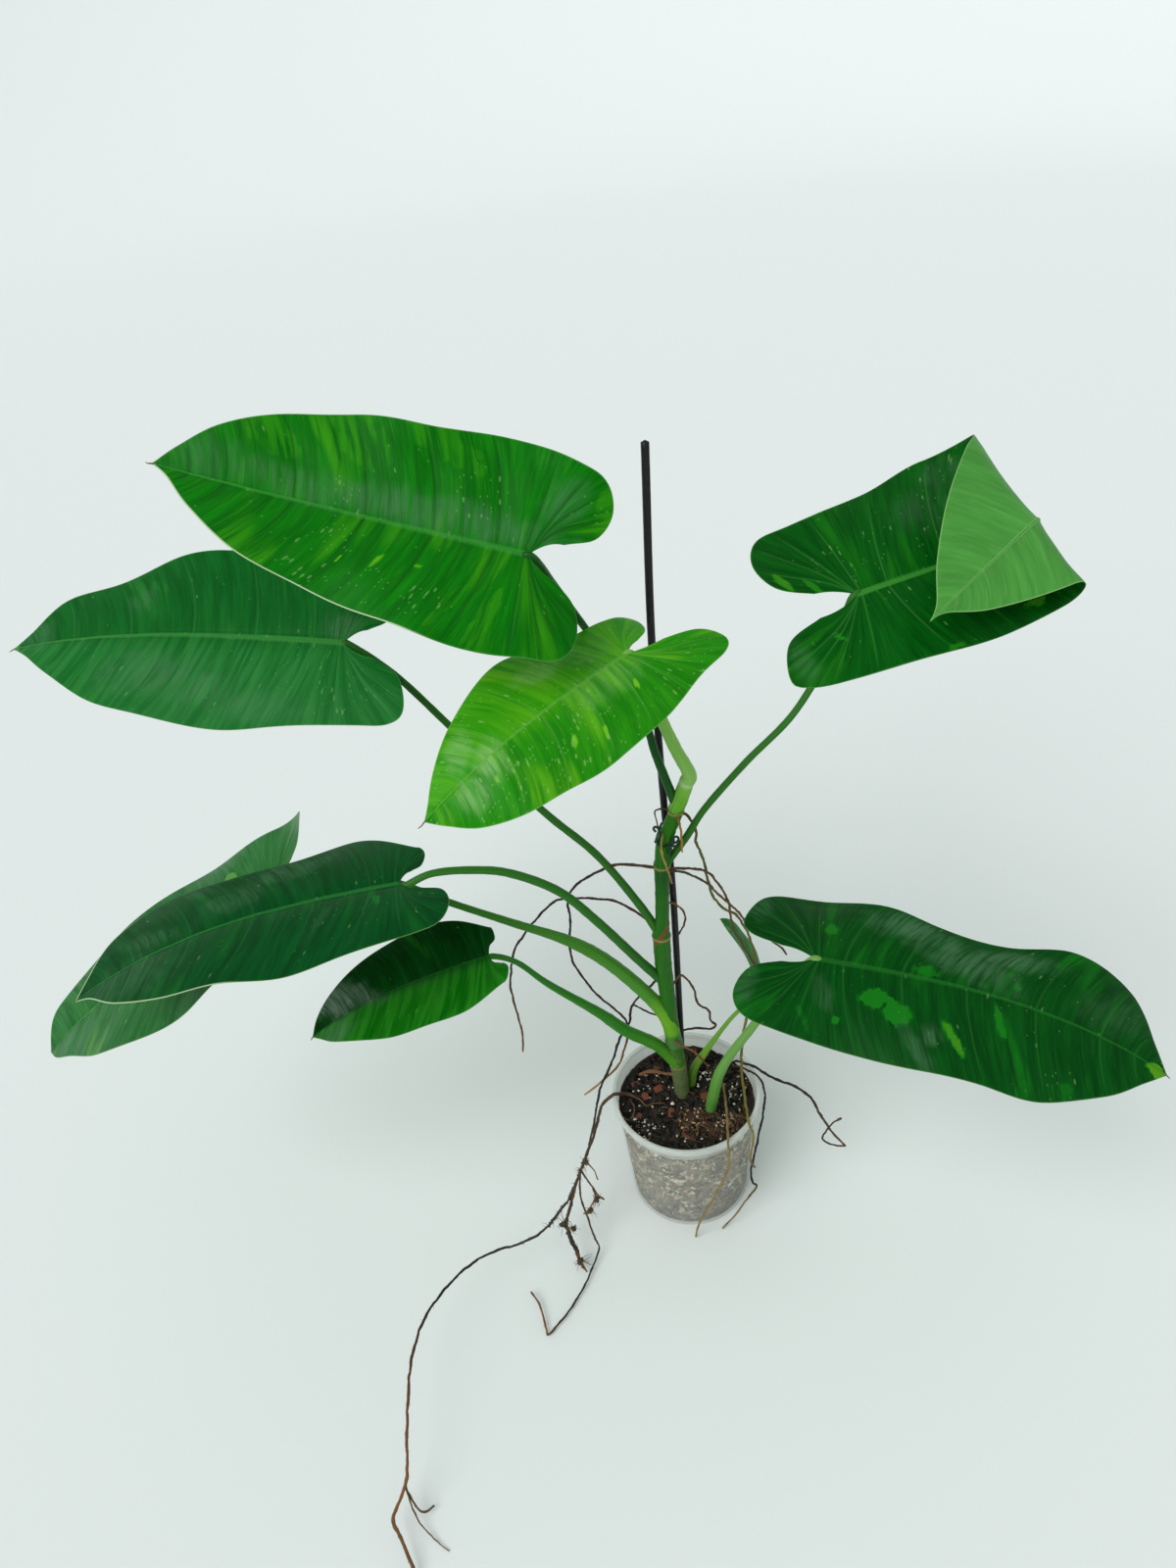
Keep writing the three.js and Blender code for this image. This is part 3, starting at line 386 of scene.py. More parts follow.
HALF_COLUMNS = ("widths", "lobe", "fold", "curl", "phase", "lift")
LEAF_COLUMNS = ("base", "heading", "pitch", "roll", "length", "droop", "sweep", "twist", "notch", "wave",
                "left", "right", "stalk", "radii", "roll_over")


def half_row(*values):
    return dict(zip(HALF_COLUMNS, values))


def leaf_row(*values):
    return dict(zip(LEAF_COLUMNS, values))


LEAVES = {
    "leaf_1": leaf_row(
        (90, -44, 297), -23, 1, 7, 232, 27, -13, 7, 7, 3,
        half_row((15, 46, 55, 45, 48, 58), (55, 60, 25), 1, -11, -52, 0),
        half_row((14, 36, 56, 60, 64, 61), (49, 58, 38), 0, -23, 175, 3),
        [(17, -12, 94), (21, -15, 128), (25, -18, 153), (34, -22, 180), (50, -29, 218), (67, -36, 259)],
        [4.7, 4.6, 4.3, 3.8, 3.4, 3, 2.6]),
    "leaf_2": leaf_row(
        (78, 46, 161), 166, 73, 8, 100, 19, 5, -4, 4, 1,
        half_row((5, 9, 14, 17, 17, 16), (16, 15, 8), 10, -7, -78, 0),
        half_row((4, 9, 15, 16, 17, 16), (16, 15, 8), 8, -14, 140, 0),
        [(4, 10, 94), (9, 17, 118), (18, 21, 131), (29, 26, 144), (46, 34, 160), (64, 42, 167)],
        [3.5, 3.6, 3.2, 2.4, 1.8, 1.6, 1.5]),
    "leaf_3": leaf_row(
        (-134, -19, 309), 180, -16, -14, 148, 17, 10, 4, 8, 1,
        half_row((7, 18, 29, 37, 39, 37), (14, 27, 16), 8, -14, 213, 0),
        half_row((11, 21, 31, 38, 40, 35), (7, 22, 13), 12, -10, 269, 0),
        [(-4, 5, 142), (-21, 2, 172), (-43, -2, 196), (-63, -6, 225), (-96, -12, 267),
         (-115, -16, 296)],
        [5.6, 5, 4.8, 4.5, 3, 2.2, 2]),
    "leaf_4": leaf_row(
        (-276, 26, 357), 184, -26, -12, 240, 15, 7, -10, 11, 3,
        half_row((14, 28, 53, 68, 73, 68), (42, 75, 62), 19, -11, -6, 0),
        half_row((23, 32, 43, 49, 58, 56), (35, 53, 28), 8, -24, 59, 18),
        [(-6, 3, 168), (-11, 4, 199), (-25, 6, 226), (-52, 9, 262), (-79, 11, 286), (-119, 14, 308),
         (-157, 17, 329), (-196, 20, 353), (-236, 23, 363)],
        [6.4, 6, 5.6, 5.2, 4.8, 3.2, 2.6, 2.5, 2.5, 2.5]),
    "leaf_5": leaf_row(
        (-182, -24, 388), 183, -3.5, 2, 225, 20, 17, -3, 10, 1,
        half_row((8, 29, 46, 53, 61, 57), (34, 50, 31), 7, -17, 26, 2),
        half_row((13, 37, 53, 47, 48, 59), (17, 38, 28), 6, -13, 114, -3),
        [(-10, 5, 236), (-30, 1, 270), (-56, -4, 316), (-80, -8, 352), (-110, -13, 377),
         (-135, -17, 387), (-160, -21, 391)],
        [3.8, 3.5, 3.3, 3.2, 3, 2.8, 2.6, 2.4]),
    "leaf_6": leaf_row(
        (-198, 60, 523), 164, 2, -31, 247, 10, 9, 11, 9, 3,
        half_row((8, 25, 48, 59, 63, 60), (47, 54, 40), 1, -20, 44, -3),
        half_row((11, 35, 45, 62, 66, 57), (33, 55, 27), 6, -6, 94, 4),
        [(-11, 5, 285), (-25, 10, 315), (-51, 18, 358), (-81, 26, 391), (-113, 35, 430),
         (-138, 43, 461), (-168, 52, 499)],
        [3.4, 3.1, 2.8, 2.7, 2.6, 2.5, 2.4, 2.3]),
    "leaf_7": leaf_row(
        (122, 18, 540), 11, 8, 37, 233, -5, 2, -11, 8, 3,
        half_row((5, 23, 47, 64, 75, 66), (57, 57, 33), 2, -14, 156, 16),
        half_row((3, 19, 38, 51, 55, 54), (63, 51, 42), 11, -16, 74, 13),
        [(-7, 4, 352), (10, 6, 375), (24, 7, 398), (52, 10, 430), (84, 13, 463), (108, 16, 507)],
        [2.8, 2.6, 2.4, 2.4, 2.3, 2.3, 2.3],
        dict(start=92, radius=16, angle=175, turn=11.5)),
    "leaf_8": leaf_row(
        (-71, -10, 602), 166, 14, -31, 217, -1, -2, 7, 10, 3,
        half_row((6, 22, 42, 50, 58, 63), (36, 57, 36), 5, -17, -72, -18),
        half_row((14, 32, 49, 56, 58, 64), (40, 56, 35), 19, -3, 159, -5),
        [(5, 4, 403), (-2, 6, 429), (-7, 7, 448), (-12, 12, 470), (-25, 19, 501), (-43, 21, 535),
         (-58, 10, 570)],
        [3.2, 3, 2.8, 2.6, 2.5, 2.4, 2.3, 2.3]),
    "leaf_9": leaf_row(
        (-21, -15, 536), 217, -6, -15, 156, 40, 1, -20, 5, 3,
        half_row((11, 26, 39, 44, 49, 49), (55, 39, 27), 3, -16, -58, -3),
        half_row((5, 16, 32, 44, 48, 42), (29, 35, 22), -7, -13, 161, -5),
        [(11, 4, 418), (14, 2, 434), (6, -2, 454), (-1, -5, 476), (-10, -10, 508)],
        [4.2, 4.4, 4.2, 3.6, 3, 2.6]),
}


def smooth_values(values, at):
    """A smooth line of values, read at places counted from the first value."""
    v = np.asarray(values, float)
    low = np.minimum(at.astype(int), len(v) - 2)
    w = at - low
    a, b = v[np.maximum(low - 1, 0)], v[low]
    c, d = v[low + 1], v[np.minimum(low + 2, len(v) - 1)]
    start, end = (c - a) / 2, (d - b) / 2
    cubic = (2 * b - 2 * c + start + end) * w**3
    return cubic + (3 * c - 3 * b - 2 * start - end) * w**2 + start * w + b


def edge_of(leaf, half, at):
    """Along, out and vein start of the blade's edge, at numbers of edge points from the tip."""
    back, wide, end = half["lobe"]
    length, notch = leaf["length"], leaf["notch"]
    along = [length, *(share * length for share in WIDTH_PLACES)]
    along += [-0.35 * back, -0.82 * back, -back, -0.86 * back, -NOTCH_REACH * back, 0]
    out = [0, *half["widths"], wide, wide - 0.28 * (wide - end), end]
    out += [end - 0.66 * (end - notch), notch, 0]
    start = np.clip(smooth_values([1, *VEIN_STARTS, 0, 0, 0, 0, 0, 0], at), 0, 1) * length
    return smooth_values(along, at), np.maximum(smooth_values(out, at), 0), start


def notch_at(leaf, half, along):
    """How far out from the midrib's line the notch's edge is at places along it."""
    share = np.clip(-along / (NOTCH_REACH * half["lobe"][0]), 0, 1)
    return leaf["notch"] * (1 - (1 - share) ** 2)


def midrib_of(leaf):
    """The midrib's places and its axes ahead, left and up out of the face."""
    heading, pitch, roll = (math.radians(leaf[k]) for k in ("heading", "pitch", "roll"))
    level = math.cos(pitch)
    ahead = np.array([math.cos(heading) * level, math.sin(heading) * level, math.sin(pitch)])
    left = np.array([-math.sin(heading), math.cos(heading), 0])
    up = np.cross(ahead, left)

    def bend(a, b, angle):
        return a * math.cos(angle) + b * math.sin(angle), b * math.cos(angle) - a * math.sin(angle)

    left, up = bend(left, up, roll)
    at = np.array(leaf["base"], float)
    places = [np.stack([at, ahead, left, up])]
    droop, sweep, twist = (math.radians(leaf[k]) for k in ("droop", "sweep", "twist"))
    for i in range(MIDRIB_STEPS):
        weight = 2 * (i + 0.5) / MIDRIB_STEPS**2
        ahead, up = bend(ahead, up, -droop * weight)
        ahead, left = bend(ahead, left, sweep * weight)
        left, up = bend(left, up, twist / MIDRIB_STEPS)
        at = at + ahead * leaf["length"] / MIDRIB_STEPS
        places.append(np.stack([at, ahead, left, up]))
    return np.array(places)


def blade_points(leaf, half, side, midrib, along, out):
    """Blade points in space from their distances along the midrib and out from it on one half."""
    widest = half["widths"][3]
    slope = np.radians(half["fold"] + half["curl"] * out * 0.5 / widest)
    ripple = np.sin(4 * math.pi * along / leaf["length"] + math.radians(half["phase"]))
    across = side * out * np.cos(slope)
    height = out * np.sin(slope) + leaf["wave"] * np.minimum(out / widest, 1.2) ** 2 * ripple
    height = height + half["lift"] * (np.minimum(along, 0) / half["lobe"][0]) ** 2
    forward = along
    if "roll_over" in leaf:
        over = leaf["roll_over"]
        turn, full = math.radians(over["turn"]), math.radians(over["angle"])
        past = along * math.cos(turn) + across * math.sin(turn) - over["start"]
        arc = np.minimum(past, over["radius"] * full)
        rest, bent = past - arc, arc / over["radius"]
        reach = over["radius"] * np.sin(bent) + rest * math.cos(full) - height * np.sin(bent)
        rolled = over["radius"] * (1 - np.cos(bent)) + rest * math.sin(full) + height * np.cos(bent)
        height = np.where(past > 0, rolled, height)
        forward = np.where(past > 0, along + (reach - past) * math.cos(turn), along)
        across = np.where(past > 0, across + (reach - past) * math.sin(turn), across)
    share = np.clip(forward / leaf["length"], 0, 1) * MIDRIB_STEPS
    low = np.minimum(share.astype(int), MIDRIB_STEPS - 1)
    w = (share - low)[..., None, None]
    at, ahead, left, up = np.moveaxis(midrib[low] * (1 - w) + midrib[low + 1] * w, -2, 0)
    beyond = np.minimum(forward, 0) + np.maximum(forward - leaf["length"], 0)
    return at + ahead * beyond[..., None] + left * across[..., None] + up * height[..., None]


def blade_rows(leaf, half):
    """Edge places for the net's rows, evenly spread and closer at each side vein, then a finer list
    of edge places with the distance walked to each."""
    fine = np.linspace(0, LAST_EDGE_POINT, 100 * LAST_EDGE_POINT + 1)
    along, out, start = edge_of(leaf, half, fine)
    middle = np.stack([start + (along - start) * 0.7, out * 0.7], -1)
    walked = np.concatenate([[0], np.cumsum(np.linalg.norm(np.diff(middle, axis=0), axis=1))])
    rows = np.interp(np.linspace(0, walked[-1], int(walked[-1] / ROW_PACE)), walked, fine)
    near = np.interp(np.interp(SIDE_VEINS, fine, walked)[:, None] + VEIN_ROWS, walked, fine).ravel()
    clear = np.abs(np.interp(rows, fine, walked)[:, None] - np.interp(near, fine, walked))
    return np.unique([*rows[clear.min(axis=1) > 0.45], *near, 0, LAST_EDGE_POINT]), fine, walked


def blade_half(leaf, half, side, midrib, bold):
    """One half's net: points, surface coordinates and marks, each with a row for each edge place."""
    rows, fine, walked = blade_rows(leaf, half)
    along, out, start = (v[:, None] for v in edge_of(leaf, half, rows))
    bow = VEIN_BOW * (along - start) * ACROSS * (1 - ACROSS) * np.minimum(start / (0.07 * leaf["length"]), 1)
    ahead = start + (along - start) * ACROSS - bow
    across = (out - notch_at(leaf, half, along)) * ACROSS + notch_at(leaf, half, ahead)
    points = blade_points(leaf, half, side, midrib, ahead, across)
    apart = np.linalg.norm(np.diff(points, axis=0), axis=-1)
    apart = np.vstack([np.zeros(len(ACROSS)), np.cumsum(apart, axis=0)])
    outward = np.linalg.norm(np.diff(points, axis=1), axis=-1)
    outward = np.hstack([np.zeros((len(rows), 1)), np.cumsum(outward, axis=1)])
    veins = np.array([[np.interp(v, rows, column) for column in apart.T] for v in SIDE_VEINS])
    width = bold * (0.62 - 0.3 * ACROSS) * (1 + 0.25 * np.sin(3.1 * np.arange(len(SIDE_VEINS)))[:, None])
    gap = np.abs(apart[None] - veins[:, None]) / width[:, None]
    vein = np.exp(-(gap.min(axis=0) ** 2)) * smoothstep(1.02, 0.7, ACROSS) * smoothstep(0, 0.05, ACROSS)
    above = np.searchsorted(SIDE_VEINS, rows, side="right")
    low, high = np.clip(above - 1, 0, None), np.clip(above, None, len(SIDE_VEINS) - 1)
    span = np.maximum(veins[high] - veins[low], 1e-6)
    phase = np.clip((apart - veins[low]) / span, 0, 1) * (low != high)[:, None]
    puff = np.sin(math.pi * phase) ** 1.4 * np.clip(span / 22, 0, 1.3)
    puff = puff * smoothstep(0, 0.25, ACROSS) * smoothstep(1.0, 0.6, ACROSS)
    walk = np.interp(rows, fine, walked)[:, None] + (HALF_OFFSET if side < 0 else 0)
    uv = np.stack([walk + 0 * outward, outward], -1)
    marks = {"ahead": ahead, "across": across, "start": start + 0 * across, "vein": vein, "puff": puff,
             "edge": outward[:, -1:] - outward, "u": uv[..., 0], "share": ACROSS + 0 * across}
    return points, uv, marks


def patch_layer(place, patches, soft):
    """Ragged ovals on a blade: (ahead, out to the left, half length, half width, turn, strength)."""
    total = np.zeros(len(place))
    ragged = 0.3 * cloud(place, 5, 5)
    for ahead, left, long, wide, turn, strength in patches:
        cos, sin = math.cos(math.radians(turn)), math.sin(math.radians(turn))
        x, y = place[:, 0] - ahead, place[:, 1] - left
        away = np.hypot((x * cos + y * sin) / long, (y * cos - x * sin) / wide) + ragged
        total = np.maximum(total, strength * smoothstep(1 + soft, 1 - soft, away))
    return total


def make_blade(name, leaf, materials, slot, puff=0.4, bold=1.0, light=(), painted_sheen=(), flecks=()):
    """A leaf blade: upper face, under face with its raised ribs, and a rounded rim. Puff is how far the
    face swells between side veins, and bold how strongly these are cut in."""
    midrib = midrib_of(leaf)
    halves = [blade_half(leaf, leaf[key], side, midrib, bold) for key, side in (("left", 1), ("right", -1))]
    flat = np.vstack([points.reshape(-1, 3) for points, _, _ in halves])
    _, first, index = np.unique(np.round(flat, 4), axis=0, return_index=True, return_inverse=True)
    index = index.ravel()
    middle = flat[first]
    count = len(middle)
    marks = {key: np.concatenate([m[key].ravel() for _, _, m in halves])[first] for key in halves[0][2]}
    quads, corners, rims, rim_uvs, offset = [], [], [], [], 0
    for (points, uv, _), side in zip(halves, (1, -1)):
        rows, columns = points.shape[:2]
        own = index[offset:offset + rows * columns].reshape(rows, columns)
        offset += rows * columns
        turn = slice(None, None, -1) if side > 0 else slice(None)
        net = np.stack([own[:-1, :-1], own[1:, :-1], own[1:, 1:], own[:-1, 1:]], -1).reshape(-1, 4)
        spots = np.stack([uv[:-1, :-1], uv[1:, :-1], uv[1:, 1:], uv[:-1, 1:]], -2).reshape(-1, 4, 2)
        quads.append(net[:, turn])
        corners.append(spots[:, turn])
        edge = np.concatenate([own[:, -1], own[-1, -2::-1]])
        edge_uv = np.concatenate([uv[:, -1], uv[-1, -2::-1]])
        rims.append(np.stack([edge[:-1], edge[1:]], -1)[:, turn])
        rim_uvs.append(np.stack([edge_uv[:-1], edge_uv[1:]], -2)[:, turn])
    quads, corners, rim, rim_uv = (np.concatenate(v) for v in (quads, corners, rims, rim_uvs))
    normals = np.zeros_like(middle)
    facing = np.cross(middle[quads[:, 2]] - middle[quads[:, 0]], middle[quads[:, 3]] - middle[quads[:, 1]])
    for corner in quads.T:
        np.add.at(normals, corner, facing)
    normals = unit(normals)

    length = leaf["length"]
    tapered = 1 - np.clip(marks["start"] / length, 0, 1)
    rib_half = (0.45 + 1.5 * tapered**0.8) * length / RIB_LENGTH
    rib_gap = marks["across"] / rib_half
    on_rib = smoothstep(-3, 1, marks["ahead"])
    rib = smoothstep(1.15, 0.75, rib_gap) * on_rib
    keel = KEEL_SHARE_OF_LENGTH * length * (0.25 + 0.75 * tapered)
    keel = keel * np.sqrt(np.clip(1 - rib_gap**2 / 1.3, 0, 1)) * on_rib
    place = np.stack([marks["ahead"], marks["across"] * np.sign(HALF_OFFSET - marks["u"]), 0 * rib], -1)
    lift = puff * marks["puff"] + 0.25 * cloud(place, 19, 11) * smoothstep(0, 10, marks["edge"])
    half = BLADE_THICKNESS / 2 * (0.5 + 0.5 * smoothstep(0, 3, marks["edge"]))
    gutter = smoothstep(1.1, 1.5, rib_gap) * smoothstep(2.6, 1.6, rib_gap) * on_rib
    upper = lift + half + 0.3 * rib - 0.32 * gutter - 0.18 * bold * marks["vein"]
    lower = lift - half - keel - 0.35 * marks["vein"]

    rim_ids, rim_index = np.unique(rim, return_inverse=True)
    rim_index = rim_index.reshape(rim.shape)
    outward = np.zeros((count, 3))
    push = np.cross(middle[rim[:, 1]] - middle[rim[:, 0]], normals[rim[:, 0]])
    for corner in rim.T:
        np.add.at(outward, corner, push)
    bulge = middle[rim_ids] + 0.18 * unit(outward[rim_ids]) + normals[rim_ids] * lift[rim_ids, None]
    points = [middle + normals * upper[:, None], middle + normals * lower[:, None], bulge]
    a, b = rim.T
    c, d = (2 * count + rim_index).T
    faces = [quads, count + quads[:, ::-1], np.stack([a, c, d, b], -1)]
    faces.append(np.stack([c, count + a, count + b, d], -1))
    pair = rim_uv[:, [0, 0, 1, 1]]
    spots = [corners, corners[:, ::-1], pair, pair]
    which = np.concatenate([np.full(len(f), k) for f, k in zip(faces, (0, 1, 0, 1))])
    # The sheen layer holds painted sheen: where soft reflections are laid into the face's colour.
    layers = {"rib": rib, "vein": marks["vein"], "edge": np.minimum(marks["edge"], 30),
              "way": marks["ahead"] / length, "out": marks["share"],
              "light": patch_layer(place, light, 0.15), "painted_sheen": patch_layer(place, painted_sheen, 0.6),
              "flecks": patch_layer(place, flecks, 0.5),
              "half": (marks["u"] < HALF_OFFSET) * 1.0}
    layers = {key: np.concatenate([v, v, v[rim_ids]]) for key, v in layers.items()}
    return piece(name, np.vstack(points), np.vstack(faces), materials, (name + "_blade",),
                 uv=np.concatenate(spots), layers=layers, which=which)


def leaf_face(name, dark, mid, lime, rib, vein, lime_share=0.35, stripe=0.5, vein_share=0.3, gloss=0.38,
              edging=(1.2, 1.2), left_half_tone_and_light=None, rib_share=0.8, fleck_share=0.012, line=None,
              painted_sheen_colour=(0.085, 0.2, 0.1)):
    """The upper face: dark and mid green along the veins, lime sectors, flecks, ribs and margin. Edging
    is the share of the way to the tip from which each half's margin is whitish; line is the colour of
    the side veins where it isn't that of the vein, and the sheen colour that of the broad soft gleams,
    a painted sheen laid into the colour. The left half's colours, where given, are partly its own tone,
    partly painted light and shade."""
    s = Shading(name)
    streaks = s.noise(s.place((6, 60)), 3, 0.55, 0.4)
    fine = s.noise(s.place((0.8, 24)), 2, 0.6)
    sectors = s.noise(s.place((21, 75), (3.1, 1.7, 0)), 1.5, 0.4, 0.6)
    half = s.layer("half")
    colour = s.mix(s.times(s.ramp(streaks, 0.3, 0.72), 2 * stripe, clamp=True), dark, mid)
    # The colours given for the other half go on the left half: partly its own tone, partly painted light and
    # shade from how it faces the light and lets light through.
    if left_half_tone_and_light:
        share = s.times(half, s.ramp(s.layer("out"), -0.1, 0.25))
        colour = s.mix(share, colour, s.mix(s.ramp(streaks, 0.34, 0.7), *left_half_tone_and_light))
    limes = s.times(s.ramp(sectors, 0.60 - 0.3 * lime_share, 0.78 - 0.25 * lime_share),
                   s.ramp(streaks, 0.3, 0.62))
    colour = s.over(colour, lime, 0.75, limes)
    colour = s.over(colour, lime, 0.22, s.ramp(fine, 0.48, 0.72))
    colour = s.over(colour, dark, 0.3, s.ramp(fine, 0.5, 0.28))
    light = s.layer("light")
    bright = s.mix(0.35, lime, (0.22, 0.5, 0.01))
    patches = s.stops(light, [(0.5, tuple(0.3 * a + 0.7 * b for a, b in zip(mid, lime))), (0.6, lime)])
    patches = s.mix(s.ramp(light, 0.7, 0.95), patches, bright)
    thin = s.times(s.ramp(light, 0.1, 0.4), s.ramp(streaks, 0.38, 0.6))
    share = s.plus(s.ramp(light, 0.5, 0.6), s.times(thin, 0.6), clamp=True)
    colour = s.mix(share, colour, patches)
    painted_sheen_strokes = s.ramp(s.noise(s.place((3, 34), (2.2, 0.4, 0)), 3, 0.6), 0.25, 0.7)
    # Painted sheen: soft grey-green reflections laid into the colour on the sheen patches, in brushed
    # streaks.
    colour = s.over(colour, painted_sheen_colour, painted_sheen_strokes, s.layer("painted_sheen"))
    colour = s.over(colour, line or vein, vein_share, s.layer("vein"))
    colour = s.over(colour, s.mix(s.ramp(fine, 0.35, 0.7), rib, vein), rib_share, s.layer("rib"))
    pale = s.mix(0.2, vein, (0.5, 0.68, 0.3))
    more = s.times(s.layer("flecks"), 0.4)
    for cell, size, share, strength in (((2.2, 3.2), 0.2, 1.1, 0.35), ((3.6, 9), 0.17, 0.8, 0.5),
                                        ((6, 24), 0.07, 0.6, 0.6)):
        colour = s.over(colour, pale, strength, s.specks(cell, size, share * fleck_share, more))
    rim = s.layer("edge")
    colour = s.over(colour, pale, 0.35, s.ramp(rim, 0.9, 0.2))
    way = s.layer("way")
    first, second = (s.ramp(way, at - 0.06, at + 0.06) for at in edging)
    white = s.node("Mix", {0: half, 2: second, 3: first})
    colour = s.over(colour, (0.5, 0.62, 0.4), white, s.ramp(rim, 1.0, 0.35))
    colour = s.mix(s.ramp(way, 0.988, 1.0), colour, (0.16, 0.12, 0.04))
    grain = s.noise(s.place((0.9, 5)), 2, 0.6)
    s.bump(s.plus(s.times(streaks, 0.9), s.times(grain, 0.4)), 0.3, 0.4)
    rough = s.plus(s.times(s.noise(s.place((12, 20)), 3, 0.6), 0.2), gloss - 0.1)
    return s.finish(colour, rough, 0.07, **{"Specular Tint": (0.6, 1.0, 0.65)})


def leaf_back(name, base, light, rib):
    """The paler under face with its raised ribs and light margin."""
    s = Shading(name)
    streaks = s.noise(s.place((7, 50), (5.5, 0.3, 0)), 3, 0.55, 0.3)
    fine = s.noise(s.place((1, 22), (1.5, 0.7, 0)), 2, 0.6)
    colour = s.mix(s.ramp(streaks, 0.3, 0.72), base, light)
    colour = s.over(colour, rib, 0.25, s.ramp(fine, 0.45, 0.75))
    colour = s.over(colour, rib, 0.3, s.layer("vein"))
    colour = s.over(colour, rib, 0.6, s.layer("rib"))
    colour = s.over(colour, (0.24, 0.46, 0.15), 0.8, s.ramp(s.layer("edge"), 0.9, 0.3))
    s.bump(s.noise(s.place((1.2, 6)), 2, 0.6), 0.2, 0.4)
    return s.finish(colour, s.plus(s.times(streaks, 0.15), 0.42), 0.25)


UNDERSIDE = leaf_back("leaf_under", (0.043, 0.23, 0.027), (0.065, 0.3, 0.04), (0.14, 0.42, 0.09))
YOUNG_UNDERSIDE = leaf_back("young_under", (0.06, 0.24, 0.02), (0.13, 0.38, 0.05), (0.28, 0.52, 0.12))

# Colours and shares of each face, as leaf_face takes them
# The sheen colours are painted sheen. The colours given for the other half are partly the left half's own
# tone, partly painted light and shade.
LEAF_LOOKS = {
    "leaf_1": dict(dark=(0.0008, 0.04, 0.004), mid=(0.0022, 0.085, 0.007), lime=(0.007, 0.16, 0.008),
                   rib=(0.008, 0.13, 0.01), vein=(0.03, 0.2, 0.03), lime_share=0.1, vein_share=0.3,
                   rib_share=0.5, stripe=0.35),
    "leaf_2": dict(dark=(0.004, 0.1, 0.008), mid=(0.012, 0.17, 0.012), lime=(0.06, 0.3, 0.02),
                   rib=(0.05, 0.26, 0.03), vein=(0.08, 0.3, 0.05)),
    "leaf_3": dict(dark=(0.0008, 0.026, 0.003), mid=(0.0015, 0.05, 0.006), lime=(0.01, 0.14, 0.008),
                   rib=(0.01, 0.12, 0.012), vein=(0.03, 0.18, 0.03), lime_share=0.1, vein_share=0.1,
                   left_half_tone_and_light=((0.0025, 0.12, 0.0025), (0.022, 0.22, 0.012)), rib_share=0.35,
                   painted_sheen_colour=(0.2, 0.26, 0.22)),
    # leaf_4's greens are lighter and greyer than the others': partly a paler leaf, partly painted sheen.
    "leaf_4": dict(dark=(0.012, 0.11, 0.022), mid=(0.035, 0.18, 0.045), lime=(0.09, 0.28, 0.05),
                   rib=(0.04, 0.2, 0.04), vein=(0.1, 0.28, 0.08), lime_share=0.2, rib_share=0.6),
    "leaf_5": dict(dark=(0.0007, 0.045, 0.008), mid=(0.0015, 0.08, 0.013), lime=(0.008, 0.13, 0.018),
                   rib=(0.01, 0.17, 0.02), vein=(0.03, 0.19, 0.04), lime_share=0.08, vein_share=0.2,
                   edging=(0.5, 0.82), rib_share=0.7),
    "leaf_6": dict(dark=(0.001, 0.08, 0.008), mid=(0.0035, 0.125, 0.014), lime=(0.02, 0.19, 0.025),
                   rib=(0.025, 0.2, 0.022), vein=(0.05, 0.24, 0.055), lime_share=0.12,
                   left_half_tone_and_light=((0.004, 0.12, 0.015), (0.022, 0.19, 0.035))),
    "leaf_7": dict(dark=(0.0005, 0.055, 0.003), mid=(0.0015, 0.1, 0.005), lime=(0.012, 0.19, 0.006),
                   rib=(0.04, 0.25, 0.02), vein=(0.05, 0.26, 0.045), lime_share=0.15, vein_share=0.4,
                   fleck_share=0.02),
    "leaf_8": dict(dark=(0.001, 0.11, 0.002), mid=(0.003, 0.18, 0.003), lime=(0.045, 0.3, 0.005),
                   rib=(0.02, 0.22, 0.02), vein=(0.07, 0.3, 0.06), lime_share=0.22, vein_share=0.6,
                   rib_share=0.6, edging=(0.22, 1.2), line=(0.004, 0.07, 0.004)),
    "leaf_9": dict(dark=(0.02, 0.25, 0.003), mid=(0.07, 0.36, 0.008), lime=(0.12, 0.42, 0.012),
                   rib=(0.12, 0.4, 0.05), vein=(0.16, 0.44, 0.08), lime_share=0.35, vein_share=0.25,
                   gloss=0.3, left_half_tone_and_light=((0.008, 0.18, 0.003), (0.02, 0.26, 0.005)), rib_share=0.45,
                   fleck_share=0.05, painted_sheen_colour=(0.32, 0.55, 0.22)),
}
